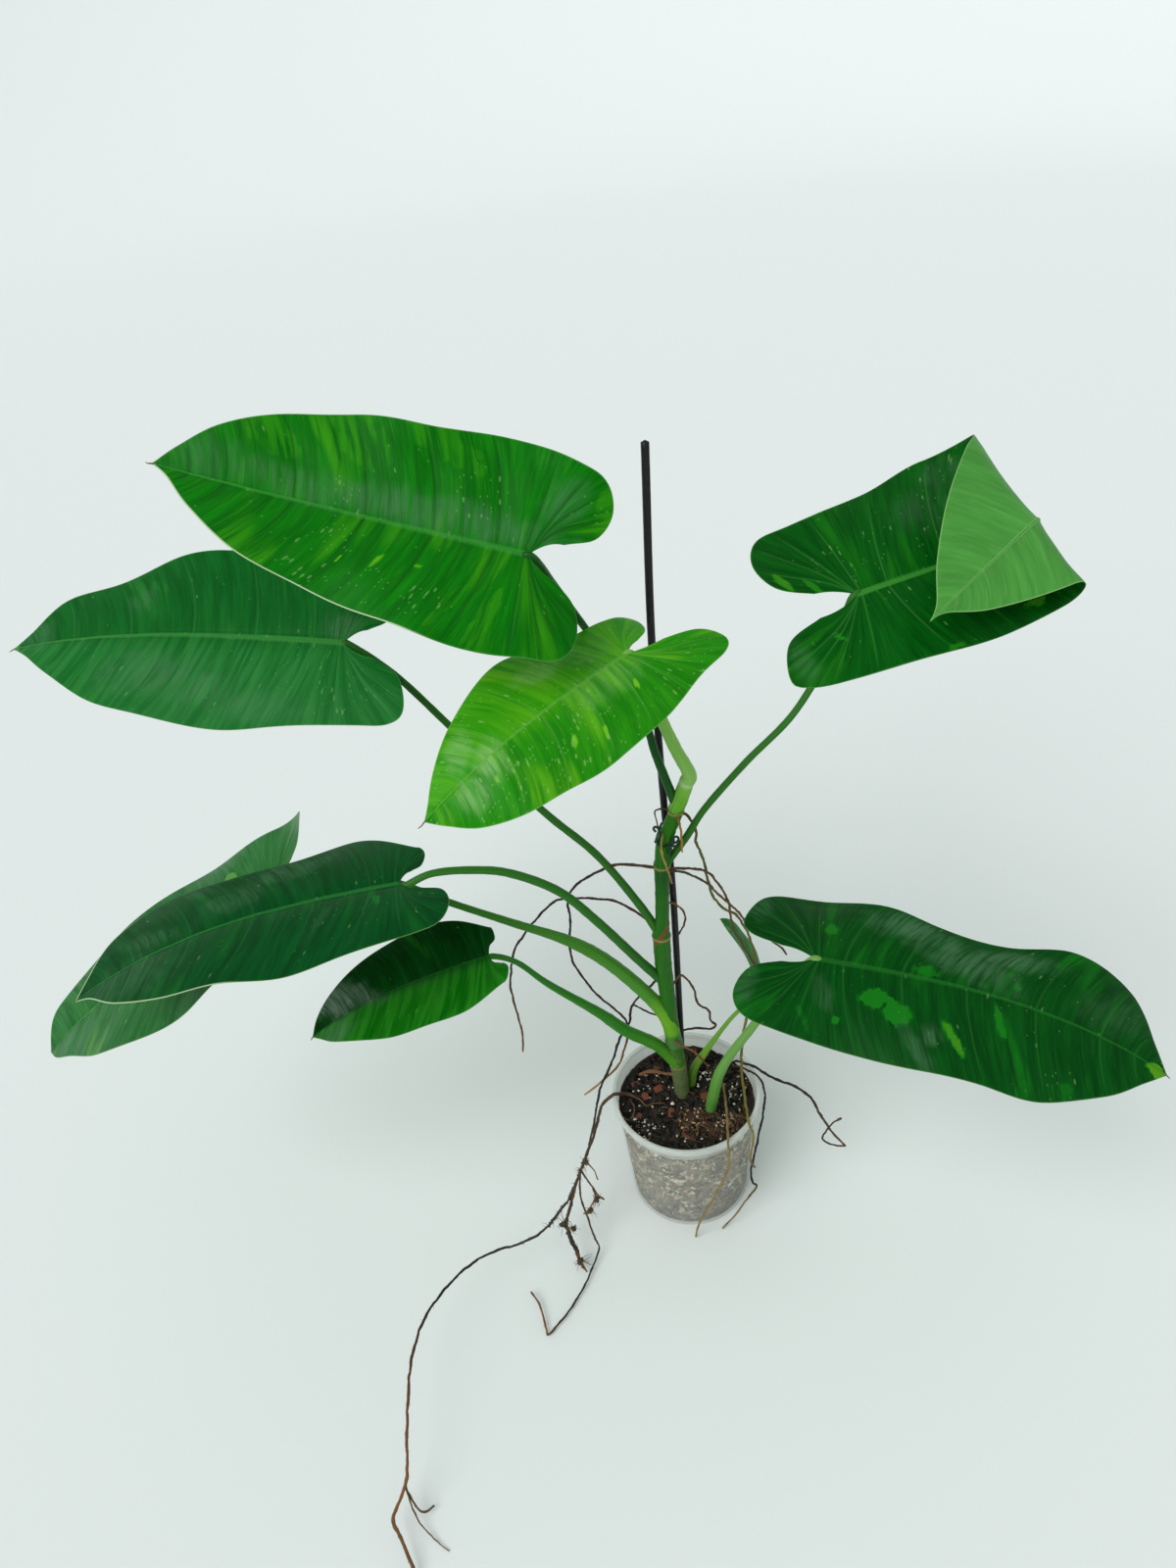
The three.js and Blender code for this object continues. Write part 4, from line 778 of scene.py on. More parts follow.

# Patches on each face: (ahead, out to the left, half length, half width, turn, strength)
# The sheen patches are painted sheen: soft reflections laid into the face's colour.
LEAF_MARKS = {
    "leaf_1": dict(
        light=[(44, -22, 10, 7, 10, 0.62), (58, -29, 10, 9.5, -20, 0.62), (72, 6, 9, 5, 0, 0.55),
               (6, 28, 4.5, 6, 0, 0.6), (21, -42, 4, 3, 40, 0.6), (98, -39, 16, 3.6, -50, 0.82),
               (124, -18, 12, 3, -68, 0.6), (130, 12, 3, 4, 0, 0.55), (148, -53, 5, 6, 0, 0.5),
               (172, -46, 7, 8, 0, 0.45), (225, -2, 8, 5, 0, 1.0), (0, -46, 9, 2, -60, 0.5)],
        painted_sheen=[(62, 38, 30, 10, -10, 0.6), (98, 20, 28, 11, -14, 0.6), (126, 33, 22, 7, 8, 0.6),
               (82, -40, 6, 6, 0, 0.5), (78, -54, 20, 5, -50, 0.4), (-42, -30, 6, 18, 0, 0.35),
               (-46, 40, 8, 12, 0, 0.35), (10, -25, 12, 6, -60, 0.25), (190, 20, 20, 12, 20, 0.2)],
        flecks=[(172, -46, 16, 14, 0, 0.2), (135, -10, 30, 14, 0, 0.1)]),
    "leaf_3": dict(
        painted_sheen=[(118, -14, 20, 11, -20, 0.75), (100, -6, 18, 6, -30, 0.4), (122, 12, 14, 8, 0, 0.35)]),
    "leaf_4": dict(
        light=[(40, -30, 7, 4, -40, 0.7)],
        painted_sheen=[(212, 10, 12, 9, 30, 0.7), (190, 30, 18, 7, 50, 0.45), (60, 10, 30, 16, 0, 0.3)]),
    "leaf_5": dict(
        light=[(14, 13, 3, 7, 20, 0.6), (23, 20, 2.5, 3, 0, 0.55), (120, -28, 5, 3, 0, 0.35)],
        painted_sheen=[(76, -36, 26, 9, 12, 0.4), (168, -14, 18, 7, -20, 0.35), (185, 14, 32, 20, 0, 0.3),
               (110, -22, 22, 9, 0, 0.3), (52, 26, 14, 3, 60, 0.2)],
        flecks=[(30, 14, 40, 24, 0, 0.06)]),
    "leaf_6": dict(
        light=[(141, -38, 8, 4, -30, 0.4), (-20, 57, 5, 4, 0, 0.7), (246, 0, 6, 4, 0, 0.9)],
        painted_sheen=[(130, 28, 38, 14, 0, 0.42), (95, 38, 26, 10, 0, 0.35), (232, -6, 16, 12, 0, 0.4),
               (50, 48, 26, 9, 0, 0.3), (2, -10, 12, 10, 0, 0.5), (150, -26, 10, 9, 0, 0.25)],
        flecks=[(-10, 38, 18, 14, 0, 0.5), (56, -1, 6, 3, 0, 0.7), (20, 20, 30, 20, 0, 0.12)]),
    "leaf_7": dict(
        light=[(-42, 18, 3, 9, 40, 0.8), (-24, 12, 2.5, 8, 40, 0.7), (-22, -24, 3, 6, 50, 0.6),
               (76, -36, 6, 3, 0, 0.95), (94, -44, 7, 3, 0, 0.8), (-18, -57, 8, 1.5, 10, 0.7),
               (40, -52, 6, 2, 0, 0.6)],
        painted_sheen=[(-50, -34, 7, 18, 10, 0.3), (66, 40, 22, 14, 0, 0.2), (80, 60, 12, 10, 0, 0.25)],
        flecks=[(8, 26, 26, 16, 0, 0.15), (44, 16, 14, 12, 0, 0.15), (84, 66, 12, 12, 0, 0.2)]),
    "leaf_8": dict(
        puff=0.8, bold=1.9,
        light=[(78, 26, 5, 1.5, 60, 0.95), (99, 29, 3, 1.1, 60, 0.9), (56, 24, 1.6, 1.1, 0, 0.9),
               (160, -36, 30, 10, -30, 0.33), (108, -44, 24, 12, -40, 0.33), (60, -50, 30, 9, -20, 0.33),
               (-36, -30, 6, 22, 10, 0.35), (14, 44, 22, 4, 70, 0.33), (34, 40, 20, 3, 60, 0.3)],
        painted_sheen=[(60, -11, 70, 9, 0, 0.45), (136, -10, 30, 8, -10, 0.35), (190, -12, 24, 10, 0, 0.3),
               (-14, -30, 16, 9, 60, 0.4)],
        flecks=[(34, -30, 16, 16, 0, 0.4), (106, -12, 12, 12, 0, 0.45), (78, 38, 16, 12, 0, 0.35),
                (46, 42, 12, 8, 0, 0.4), (104, 16, 18, 12, 0, 0.3), (-24, -34, 16, 10, 0, 0.3),
                (120, 44, 20, 8, 0, 0.25)]),
    "leaf_9": dict(
        light=[(12, 20, 3.5, 1.3, 70, 0.9), (47, 33, 4.5, 1.2, 60, 0.9), (63, 25, 3.5, 1.2, 60, 0.85),
               (110, 13, 2.4, 1, 60, 0.9)],
        painted_sheen=[(106, 3, 12, 8, 60, 0.6), (124, 10, 9, 8, 0, 0.55), (114, -16, 12, 7, 40, 0.5),
               (48, -26, 14, 7, 0, 0.4), (16, -18, 14, 10, 0, 0.15), (24, 8, 22, 11, 0, 0.22)],
        flecks=[(90, 18, 36, 20, 0, 0.4), (50, 18, 22, 16, 0, 0.25), (110, -20, 26, 14, 0, 0.2),
                (-36, 40, 20, 12, 0, 0.2)]),
}

for leaf_name, leaf in LEAVES.items():
    young = leaf_name == "leaf_9"
    face = leaf_face(leaf_name + "_face", **LEAF_LOOKS[leaf_name])
    back = YOUNG_UNDERSIDE if young else UNDERSIDE
    slot = "young_leaf" if young else "leaf_green"
    make_blade(leaf_name, leaf, [face, back], slot, **LEAF_MARKS.get(leaf_name, {}))


# Stalks

STALK_SIDES = 24


def stalk_surface(name, stops, streak):
    """Satin green with fine streaks along it and a few pale specks; stops are colours on the way up."""
    s = Shading(name)
    fine = s.noise(s.place((30, 1.1)), 3, 0.6)
    colour = s.stops(s.layer("way"), stops)
    colour = s.over(colour, streak, 0.45, s.ramp(fine, 0.45, 0.75))
    dots = s.node("TexVoronoi", {"Vector": s.place((2.4, 1.4)), "Scale": 1.0, "Randomness": 1.0})
    colour = s.over(colour, streak, 0.35, s.ramp(dots, 0.14, 0.05))
    s.bump(fine, 0.2, 0.4)
    return s.finish(colour, s.plus(s.times(fine, 0.2), 0.3), 0.14)


# Colours from the foot up, then that of the streaks and specks
STALK_COLOURS = {
    "leaf_1": ([(0, (0.08, 0.26, 0.035)), (0.5, (0.13, 0.3, 0.06)), (1, (0.16, 0.33, 0.08))],
               (0.2, 0.4, 0.13)),
    "leaf_2": ([(0, (0.05, 0.14, 0.02)), (0.3, (0.2, 0.42, 0.04)), (0.55, (0.16, 0.38, 0.04)),
                (1, (0.04, 0.13, 0.015))], (0.25, 0.45, 0.1)),
    "leaf_3": ([(0, (0.1, 0.28, 0.02)), (0.1, (0.05, 0.22, 0.012)), (0.3, (0.02, 0.18, 0.006)),
                (1, (0.014, 0.12, 0.01))], (0.06, 0.25, 0.03)),
    "leaf_4": ([(0, (0.05, 0.15, 0.04)), (0.045, (0.05, 0.17, 0.035)), (0.055, (0.12, 0.34, 0.008)),
                (0.12, (0.14, 0.36, 0.01)), (0.2, (0.06, 0.24, 0.02)),
                (0.5, (0.035, 0.17, 0.014)), (1, (0.022, 0.13, 0.012))], (0.09, 0.27, 0.05)),
    "leaf_5": ([(0, (0.012, 0.1, 0.006)), (0.3, (0.02, 0.14, 0.01)), (1, (0.03, 0.14, 0.015))],
               (0.05, 0.2, 0.03)),
    "leaf_6": ([(0, (0.025, 0.13, 0.012)), (0.5, (0.018, 0.11, 0.01)), (1, (0.014, 0.1, 0.01))],
               (0.06, 0.2, 0.035)),
    "leaf_7": ([(0, (0.025, 0.12, 0.01)), (0.5, (0.035, 0.17, 0.02)), (1, (0.02, 0.12, 0.015))],
               (0.08, 0.24, 0.05)),
    "leaf_8": ([(0, (0.01, 0.08, 0.01)), (0.5, (0.007, 0.08, 0.008)), (1, (0.006, 0.08, 0.008))],
               (0.03, 0.15, 0.03)),
    "leaf_9": ([(0, (0.09, 0.33, 0.006)), (0.18, (0.13, 0.4, 0.015)), (0.3, (0.2, 0.48, 0.05)),
                (0.335, (0.42, 0.62, 0.28)), (0.37, (0.26, 0.52, 0.12)), (0.6, (0.2, 0.46, 0.07)),
                (1, (0.16, 0.42, 0.05))],
               (0.36, 0.58, 0.22)),
}

# The scene's stalk of leaf_9 starts lower than its solid does, and wraps the stem's end as a sheath
SHEATH_POINTS = [(4, 4, 402), (6, 4, 407), (9, 4, 415), (12, 3.6, 424), (13.8, 2.4, 432)]
SHEATH_RADII = [5.3, 5.5, 5.3, 5.2, 5.0]


def make_stalk(name, leaf):
    """The leaf's stalk, from inside the stem to a thickened joint that runs on under the midrib."""
    _, ahead, _, up = midrib_of(leaf)[0]
    base, tip = np.array(leaf["base"]), leaf["radii"][-1]
    under = base - up * (tip * 1.05 + 0.5)
    points = [*leaf["stalk"], under - ahead * 3, under + ahead * 7]
    radii = [*leaf["radii"], tip * 1.12, tip * 0.45]
    if name == "leaf_9":
        points = SHEATH_POINTS + points[2:]
        radii = SHEATH_RADII + [4.3, 4.0, 3.5, 3, *radii[-2:]]
    made = tube(points, radii, STALK_SIDES, 2.0, wobble=0.025, seed=len(leaf["stalk"]) + int(leaf["length"]))
    material = stalk_surface(name + "_stalk", *STALK_COLOURS[name])
    grown(name + "_stalk", [made], material, (name + "_petiole",))


for leaf_name, leaf in LEAVES.items():
    make_stalk(leaf_name, leaf)


# Stem, stake and tie

STEM_STATIONS = [
    ((-2, 6, 86), 5.6), ((-2.5, 6, 104), 6.1), ((-3.5, 6, 124), 6.2),
    ((-4.4, 5.8, 138), 6.3), ((-4.6, 5.7, 142), 7.2), ((-4.8, 5.6, 145), 6.3),
    ((-6.4, 5, 166), 6.3), ((-6.8, 5, 171), 7.3), ((-7.1, 5, 175), 6.2),
    ((-8.6, 5, 200), 5.9), ((-9.8, 5, 230), 6), ((-11, 5, 258), 6.3),
    ((-11, 5, 283), 6.5), ((-11, 5, 287), 7), ((-10.7, 5, 291), 6),
    ((-9.5, 5, 305), 5), ((-8.2, 5, 335), 5),
    ((-7.8, 4.6, 351), 5.4), ((-7.4, 4.5, 354.5), 6.1), ((-7, 4.3, 358), 5.5),
    ((-5, 4, 375), 5.4), ((-1.5, 4, 385), 5.1),
    ((3, 4, 397), 4.9), ((4.3, 4, 401), 5.6), ((5.5, 4, 405), 5),
    ((8.5, 4, 414), 4.2), ((11, 4, 421), 3.2),
]
STEM_RINGS = [142, 171, 287, 354.5, 401]
STAKE_POINTS = [(-1, 16, 8), (0, 16, 200), (0, 16, 325), (-2.5, 16, 400), (-4, 16, 526), (-1, 16, 648)]
STAKE_RADIUS = 2.5
SCRAP_LEVEL = 285
SCRAP_SLOPE = 1.4


def stem_surface():
    """Green skin from dull at the soil to bright at the top, with tan rings and brown patches."""
    s = Shading("stem_skin")
    fine = s.noise(s.place((30, 2.2)), 3, 0.6)
    patchy = s.noise(s.place((14, 7)), 2, 0.6)
    colour = s.stops(s.layer("way"), [(0.0, (0.12, 0.14, 0.06)), (0.12, (0.1, 0.15, 0.055)),
                                      (0.2, (0.045, 0.15, 0.02)), (0.3, (0.016, 0.13, 0.004)),
                                      (0.6, (0.012, 0.11, 0.004)), (0.64, (0.005, 0.07, 0.003)),
                                      (0.8, (0.018, 0.14, 0.003)), (0.93, (0.02, 0.16, 0.002)),
                                      (0.95, (0.09, 0.33, 0.006))])
    # Lighter green streaks along the stem: painted highlight lines.
    colour = s.over(colour, (0.05, 0.2, 0.03), 0.35, s.ramp(fine, 0.5, 0.72))
    colour = s.mix(s.layer("scrap"), colour, (0.17, 0.05, 0.015))
    brown = s.times(s.ramp(patchy, 0.52, 0.7), s.ramp(s.layer("way"), 0.55, 0.0))
    colour = s.over(colour, (0.17, 0.13, 0.07), 0.7, brown)
    colour = s.over(colour, (0.27, 0.22, 0.08), s.layer("ring"), s.ramp(patchy, 0.2, 0.5))
    s.bump(s.plus(fine, patchy), 0.4, 0.5)
    return s.finish(colour, s.plus(s.times(patchy, 0.25), 0.3), 0.14)


def make_stem():
    """The climbing stem, its leaf-scar rings and the scrap of dry sheath on it."""
    points, radii = zip(*STEM_STATIONS)
    shape, quads, uv, way = tube(points, radii, 36, 1.0, wobble=0.03, seed=21)
    ring = np.max([np.exp(-((shape[:, 2] - level) / 1.0) ** 2) for level in STEM_RINGS], axis=0)
    climb = shape[:, 2] - SCRAP_LEVEL - SCRAP_SLOPE * (shape[:, 0] + 14)
    scrap = smoothstep(-2, 0.5, climb) * smoothstep(5.5, 3, climb) * (shape[:, 1] < 7)
    piece("stem_body", shape, quads, [stem_surface()], ("stem",), uv=uv,
          layers={"way": way, "ring": ring, "scrap": scrap})


def plastic(name, colour, light, rough=0.45, size=2.0):
    """A dark plastic skin with faint lighter grain."""
    s = Shading(name)
    grain = s.noise(s.solid_place(size), 3, 0.6)
    s.bump(grain, 0.2, 0.5)
    return s.finish(s.mix(s.ramp(grain, 0.45, 0.8), colour, light), rough, 0.25)


def make_stake():
    made = tube(STAKE_POINTS, [STAKE_RADIUS, STAKE_RADIUS, STAKE_RADIUS * 0.96], 28, 4.0, wobble=0.01, seed=5)
    material = plastic("stake_black", (0.006, 0.005, 0.006), (0.018, 0.017, 0.016), 0.42)
    grown("stake_rod", [made], material, ("stake",), None)


TIE_LEVEL = 378
TIE_RADIUS = 0.85
TIE_TAILS = [
    [(-8, 2.5, 377), (-10, 0.5, 379.5), (-10.2, -0.5, 381.5), (-8.6, -0.8, 383), (-7.8, 0.5, 385.5),
     (-8.4, 1, 389.5), (-9.6, 1, 391.4), (-11.2, 1, 391.3), (-11.6, 1, 389.8), (-10.5, 1, 387.5)],
    [(-0.9, -2, 377.8), (1, -2.2, 383), (3.2, -2.2, 383.8), (4.4, -2, 381.5), (2.6, -2.4, 379),
     (0.5, -2.6, 379.3), (0.7, -2.6, 376), (2.9, -2.2, 376.2)],
    [(-0.9, -2.2, 377), (-1.1, -2.4, 375), (-2.2, -2.6, 372), (-2.7, -2.6, 368.7)],
]


def make_tie():
    """Plastic-covered wire: one loop round stem and stake, and its curled tails."""
    stem_at, stake_at = np.array([-4.6, 4]), np.array([-1.9, 16])
    loop = []
    for turn in (-60, -20, 20, 60, 120, 160, 200, 240, 285):
        angle = math.radians(turn - 90)
        centre, reach = (stem_at, 6.7) if turn < 90 or turn > 270 else (stake_at, 3.9)
        x, y = centre + reach * np.array([math.cos(angle), math.sin(angle)])
        loop.append((x, y, TIE_LEVEL + 0.12 * (y - 10)))
    parts = [tube(line, [TIE_RADIUS, TIE_RADIUS], 12, 0.7, bend=0.1, seed=k)
             for k, line in enumerate((loop, *TIE_TAILS))]
    material = plastic("tie_green", (0.006, 0.035, 0.02), (0.02, 0.07, 0.04), 0.4, 1.2)
    grown("tie_wire", parts, material, ("plant_tie",), None)


make_stem()
make_stake()
make_tie()


# Roots: the same routes as the solids, with uneven thickness, small bends and hairs

# Each root's strands as radii and points; the first strand carries the others
ROOTS = {
    "root_left_long": [((1.1, 1, 0.9, 0.9, 0.9, 0.9, 0.8), [
        (-8, 4, 352), (-26, 8, 354), (-40, 14, 351), (-50, 20, 342), (-68, 25, 327), (-76, 28, 309),
        (-76, 28, 289), (-78, 28, 273), (-79, 26, 259), (-76, 24, 243), (-62, 18, 217), (-44, 14, 194),
        (-42, 12, 180), (-46, 8, 164), (-53, 4, 149), (-70, 0, 134), (-82, -4, 128)])],
    "root_left_hanging": [((1, 0.9, 0.9, 0.9, 0.8), [
        (-11, 6, 290), (-27, 18, 300), (-44, 27, 306), (-67, 33, 306), (-83, 36, 304), (-92, 37, 297),
        (-106, 38, 280), (-121, 36, 259), (-126, 33, 242), (-129, 30, 221), (-126, 26, 177),
        (-128, 25, 154)])],
    "root_right_inner": [((1, 0.9, 0.9, 0.8), [
        (-7, 4, 352), (10, 11, 343), (21, 14, 338), (28, 16, 330), (35, 18, 315), (40, 20, 301),
        (42, 21, 286), (44, 22, 270), (50, 22, 253), (60, 22, 228), (63, 22, 215)]),
        ((0.9, 0.9, 0.8), [
        (-7, 4, 350), (9, 9, 341), (24, 13, 326), (31, 16, 313), (38, 17, 303), (48, 20, 287),
        (54, 24, 272), (65, 30, 254), (82, 32, 234), (87, 32, 225)])],
    "root_right_long": [((1, 1, 1, 1, 1.1, 1.1, 1, 0.8), [
        (0, 4, 391), (9, 8, 395), (15, 10, 386), (18, 12, 373), (18, 14, 363), (23, 18, 344),
        (26, 21, 322), (30, 24, 302), (37, 26, 288), (47, 27, 278), (53, 27, 266), (58, 27, 250),
        (61, 26, 233), (60, 22, 211), (56, 18, 194), (51, 12, 175), (47, 5, 155), (46, 2, 130),
        (45, -18, 121), (44, -39, 119.5), (46, -48, 115), (45, -53, 108), (43, -56, 102),
        (42, -60, 97), (45, -62, 91)])],
    "root_loop_upper": [((0.8, 0.8, 0.7), [
        (-9, 6, 317), (-2, 11, 312), (5, 13, 304), (8, 17, 293), (7, 20, 280), (2, 22, 267)])],
    "root_loop_lower": [((0.9, 0.9, 0.9, 0.9), [
        (-8, 4, 228), (0, 7, 240), (6, 8, 236), (11, 8, 223), (14, 8, 207), (22, 8, 197), (23, 8, 187),
        (27, 8, 180), (22, 8, 177), (11, 7, 180), (1, 6, 181), (-6, 5, 181)])],
    "root_stem_front": [((1.2, 1, 0.9, 0.8), [
        (-6, 3, 178), (-5.5, -5, 180), (-2, -7, 178), (6, -6, 170), (13, -4, 157), (19, 10, 130),
        (21, 22, 112), (25, 25, 98)])],
    "root_left_falling": [((1, 0.9, 1, 1, 0.8), [
        (-10, 5, 252), (-21, 12, 228), (-31, 12, 218), (-38, 10, 206), (-40, 9, 194), (-49, 6, 179),
        (-55, 2, 163), (-61, 0, 150), (-69, -2, 130), (-73, -3, 114), (-77, -7, 96), (-84, -12, 73)]),
        ((0.7, 0.7), [
        (-8, 4, 198), (-23, 3, 207), (-35, 6, 215), (-38, 9, 210)])],
    "root_trailing": [((1, 1.2, 1.3, 1.3, 1.2, 1.1, 1, 1, 1, 1.1, 1.1, 1.2, 1.3, 1), [
        (-38, 9, 100), (-48, 8, 108), (-54, 3, 116), (-60, -1, 119.5), (-67, -4, 116), (-72, -9, 109),
        (-77, -15, 95), (-83, -21, 83), (-93, -32, 66), (-103, -42, 50), (-114, -51, 42),
        (-127, -62, 37), (-145, -69, 34), (-169, -75, 35), (-189, -86, 36), (-207, -105, 38),
        (-221, -128, 40), (-228, -157, 42), (-229, -180, 42), (-229, -212, 38), (-229, -232, 30),
        (-234, -243, 22), (-240, -253, 15), (-234, -265, 10), (-226, -281, 6), (-223, -289, 4)]),
        ((0.9, 0.8, 0.8, 0.8, 0.8), [
        (-93, -32, 66), (-95, -39, 46), (-91, -51, 28), (-87, -60, 15), (-85, -66, 8), (-93, -83, 4),
        (-107, -106, 3), (-128, -129, 2.5), (-131, -124, 3), (-136, -105, 4), (-142, -95, 5)]),
        ((1.1, 1.3, 1.5, 1.8, 1.4, 0.7), [
        (-96, -35, 61), (-104, -46, 42), (-109, -54, 30), (-107, -61, 22), (-103, -69, 14),
        (-101, -75, 8), (-96, -83, 5)])],
    "root_right_free": [((0.9, 1, 1.1, 1.1, 1.1, 0.9), [
        (40, 33, 96), (45, 29, 108), (51, 17, 119), (57, 9, 124), (66, 10, 113), (79, 5, 106),
        (91, 0, 103), (102, -4, 92), (109, -8, 76), (118, -12, 57), (130, -16, 39)]),
        ((0.8, 0.7, 0.7), [
        (130, -16, 39), (122, -15, 40), (113, -13, 44), (112, -12, 52), (119, -11, 64), (126, -11, 70),
        (123, -11, 69)])],
    "root_front": [((1, 1, 1, 1, 0.9, 0.8), [
        (32, 10, 96), (31, 4, 110), (30, -18, 114), (27, -42, 118), (25, -60, 120), (24.5, -65, 116),
        (24, -66, 106), (23, -65, 96), (18, -65, 78), (10, -64, 55), (3, -62, 33), (-2, -60, 13),
        (-4, -61, 2.2)])],
    "root_right_dark": [((0.8, 0.9, 0.9, 0.9, 0.9, 0.7), [
        (38, 30, 96), (45, 22, 110), (52, 10, 119), (57, 4, 120.5), (61.5, -2, 118), (63, -8, 110),
        (61, -15, 100), (58, -20, 88), (54, -26, 76), (50, -32, 62), (47, -35, 50), (47, -39, 38),
        (51, -39, 30), (43, -43, 22), (31, -50, 10), (19, -56, 1.8)])],
    "root_short_upper": [((0.9, 0.8, 0.6), [
        (4, 4, 401), (5, -3, 399), (6, -6, 386), (6, -6, 373)])],
    "root_short_lower": [((0.9, 0.8, 0.6), [
        (-4, 4, 385), (-7, -3.5, 384), (-8, -5.6, 376), (-6, -6, 366), (-4, -6, 356), (-2, -5, 345)])],
}

TAN, BROWN, DARK = (0.13, 0.075, 0.03), (0.06, 0.032, 0.013), (0.014, 0.01, 0.008)
ORANGE, OLIVE, GREY = (0.2, 0.075, 0.014), (0.12, 0.13, 0.025), (0.035, 0.034, 0.028)
PALE, STRAW, YELLOW = (0.42, 0.22, 0.08), (0.24, 0.17, 0.06), (0.32, 0.26, 0.04)
ROOT_COLOURS = {
    "root_left_long": [(0, BROWN), (0.3, DARK), (0.7, BROWN), (0.85, ORANGE), (1, PALE)],
    "root_left_hanging": [(0, BROWN), (0.35, DARK), (0.8, BROWN), (1, ORANGE)],
    "root_right_inner": [(0, BROWN), (0.5, TAN), (1, BROWN)],
    "root_right_long": [(0, BROWN), (0.2, OLIVE), (0.75, (0.17, 0.15, 0.02)), (0.9, STRAW), (1, TAN)],
    "root_loop_upper": [(0, ORANGE), (1, BROWN)],
    "root_loop_lower": [(0, TAN), (0.4, BROWN), (1, DARK)],
    "root_stem_front": [(0, TAN), (0.5, ORANGE), (1, BROWN)],
    "root_left_falling": [(0, BROWN), (0.4, DARK), (0.8, DARK), (1, BROWN)],
    "root_trailing": [(0, TAN), (0.18, BROWN), (0.42, GREY), (0.62, DARK), (0.8, ORANGE), (1, TAN)],
    "root_right_free": [(0, BROWN), (0.2, DARK), (0.7, DARK), (0.85, BROWN), (1, TAN)],
    "root_front": [(0, TAN), (0.15, STRAW), (1, STRAW)],
    "root_right_dark": [(0, BROWN), (0.2, DARK), (0.75, DARK), (0.9, STRAW), (1, STRAW)],
    "root_short_upper": [(0, ORANGE), (0.5, (0.3, 0.13, 0.02)), (1, (0.42, 0.2, 0.02))],
    "root_short_lower": [(0, OLIVE), (0.45, YELLOW), (1, STRAW)],
}


LOWEST_ROOT = 0.3
LOWEST_HAIR = 0.6


def root_surface(name, stops):
    """Dry matt bark in colours from the start of a strand to its end."""
    s = Shading(name)
    fine = s.noise(s.place((9, 1.1)), 3, 0.65)
    patchy = s.noise(s.place((6, 3)), 2, 0.6)
    colour = s.stops(s.layer("way"), stops)
    colour = s.over(colour, (0.16, 0.1, 0.045), 0.3, s.ramp(fine, 0.45, 0.8))
    colour = s.over(colour, (0.02, 0.014, 0.01), 0.65, s.ramp(patchy, 0.5, 0.75))
    s.bump(s.plus(fine, patchy), 0.4, 0.7)
    return s.finish(colour, 0.72, 0.3)


def make_root(name, strands, seed):
    """An aerial root with all its strands, uneven and slightly bent."""
    parts = [tube(points, radii, 10, 1.3, wobble=0.16, bend=0.35, seed=seed + 10 * k)
             for k, (radii, points) in enumerate(strands)]
    material = root_surface(name + "_bark", ROOT_COLOURS[name])
    grown(name + "_strand", parts, material, (name,), lowest=LOWEST_ROOT)


for order, (root_name, strands) in enumerate(ROOTS.items()):
    make_root(root_name, strands, 100 + 7 * order)


# Thin side roots and forks: start radius, end radius and points of each
FINE_ROOTS = {
    "fork_thin": (0.7, 0.8, [(-231, -236, 24), (-229, -240, 17), (-224, -246, 9), (-219, -247, 6),
                             (-214, -243, 4)]),
    "fork_long": (0.7, 0.35, [(-231, -236, 24), (-229, -243, 14), (-222, -255, 5), (-212, -264, 2),
                              (-203, -271, 1)]),
    "loop": (0.75, 0.2, [(0, 9, 398), (-4, 10, 399), (-9.5, 8, 399), (-8.8, 6, 391), (-7.2, 3.5, 384),
                         (-6.4, 1, 377), (-5, 3, 373)]),
    "rim_curl": (0.7, 0.5, [(-57, 9, 107), (-48, 6, 109), (-39, 2, 108), (-33, -5, 107), (-26, -4, 107),
                            (-18, -3, 105)]),
    "rim_hook": (0.8, 0.6, [(-46, 3, 107), (-43, -8, 108), (-46, -15, 107), (-50, -16, 106),
                            (-53, -12, 105)]),
    "twig_upper": (0.6, 0.5, [(-88, -26, 75), (-85, -33, 77), (-81, -38, 74), (-79, -42, 68)]),
    "twig_side": (0.9, 0.7, [(-92, -31, 67), (-88, -38, 64), (-84, -42, 58), (-80, -45, 51), (-76, -46, 46)]),
    "twig_low": (0.8, 0.6, [(-84, -42, 58), (-83, -46, 50), (-87, -48, 42), (-91, -49, 36), (-94, -48, 32)]),
}


def make_fine_roots():
    parts = [tube(points, [wide, thin], 8, 1.2, wobble=0.15, bend=0.3, seed=300 + k)
             for k, (wide, thin, points) in enumerate(FINE_ROOTS.values())]
    material = root_surface("fine_root_bark", [(0, BROWN), (0.5, TAN)])
    grown("fine_roots", parts, material, lowest=LOWEST_ROOT)


make_fine_roots()


# The dry thread at each tip: how long it is, and how far it curls down
DRY_TIPS = {"leaf_1": (4, 0.5), "leaf_3": (4, 0.5), "leaf_6": (6, 0.5), "leaf_8": (5, 0.2),
            "leaf_9": (6, -0.4)}


def make_dry_tips():
    """The brown threads that the older leaves end in."""
    parts = []
    for name, (long, curl) in DRY_TIPS.items():
        at, ahead, _, up = midrib_of(LEAVES[name])[-1]
        line = [at - 4 * ahead, at, at + 0.5 * long * ahead - 0.15 * long * up,
                at + long * (0.8 * ahead - 0.45 * curl * up)]
        parts.append(tube(line, [0.5, 0.45, 0.35, 0.2], 8, 0.7, wobble=0.1, seed=len(parts)))
    colours = [(0, (0.06, 0.12, 0.02)), (0.4, (0.12, 0.08, 0.03)), (1, (0.2, 0.15, 0.08))]
    grown("dry_tips", parts, root_surface("dry_tip", colours))


make_dry_tips()


def strand_places(points, count, low, high, draw):
    """Random places along a strand between two shares of its length, with the way ahead there."""
    line = smooth_line(points, 400)
    at = (draw.uniform(low, high, count) * 399).astype(int)
    return line[at], unit(line[at + 1] - line[at])


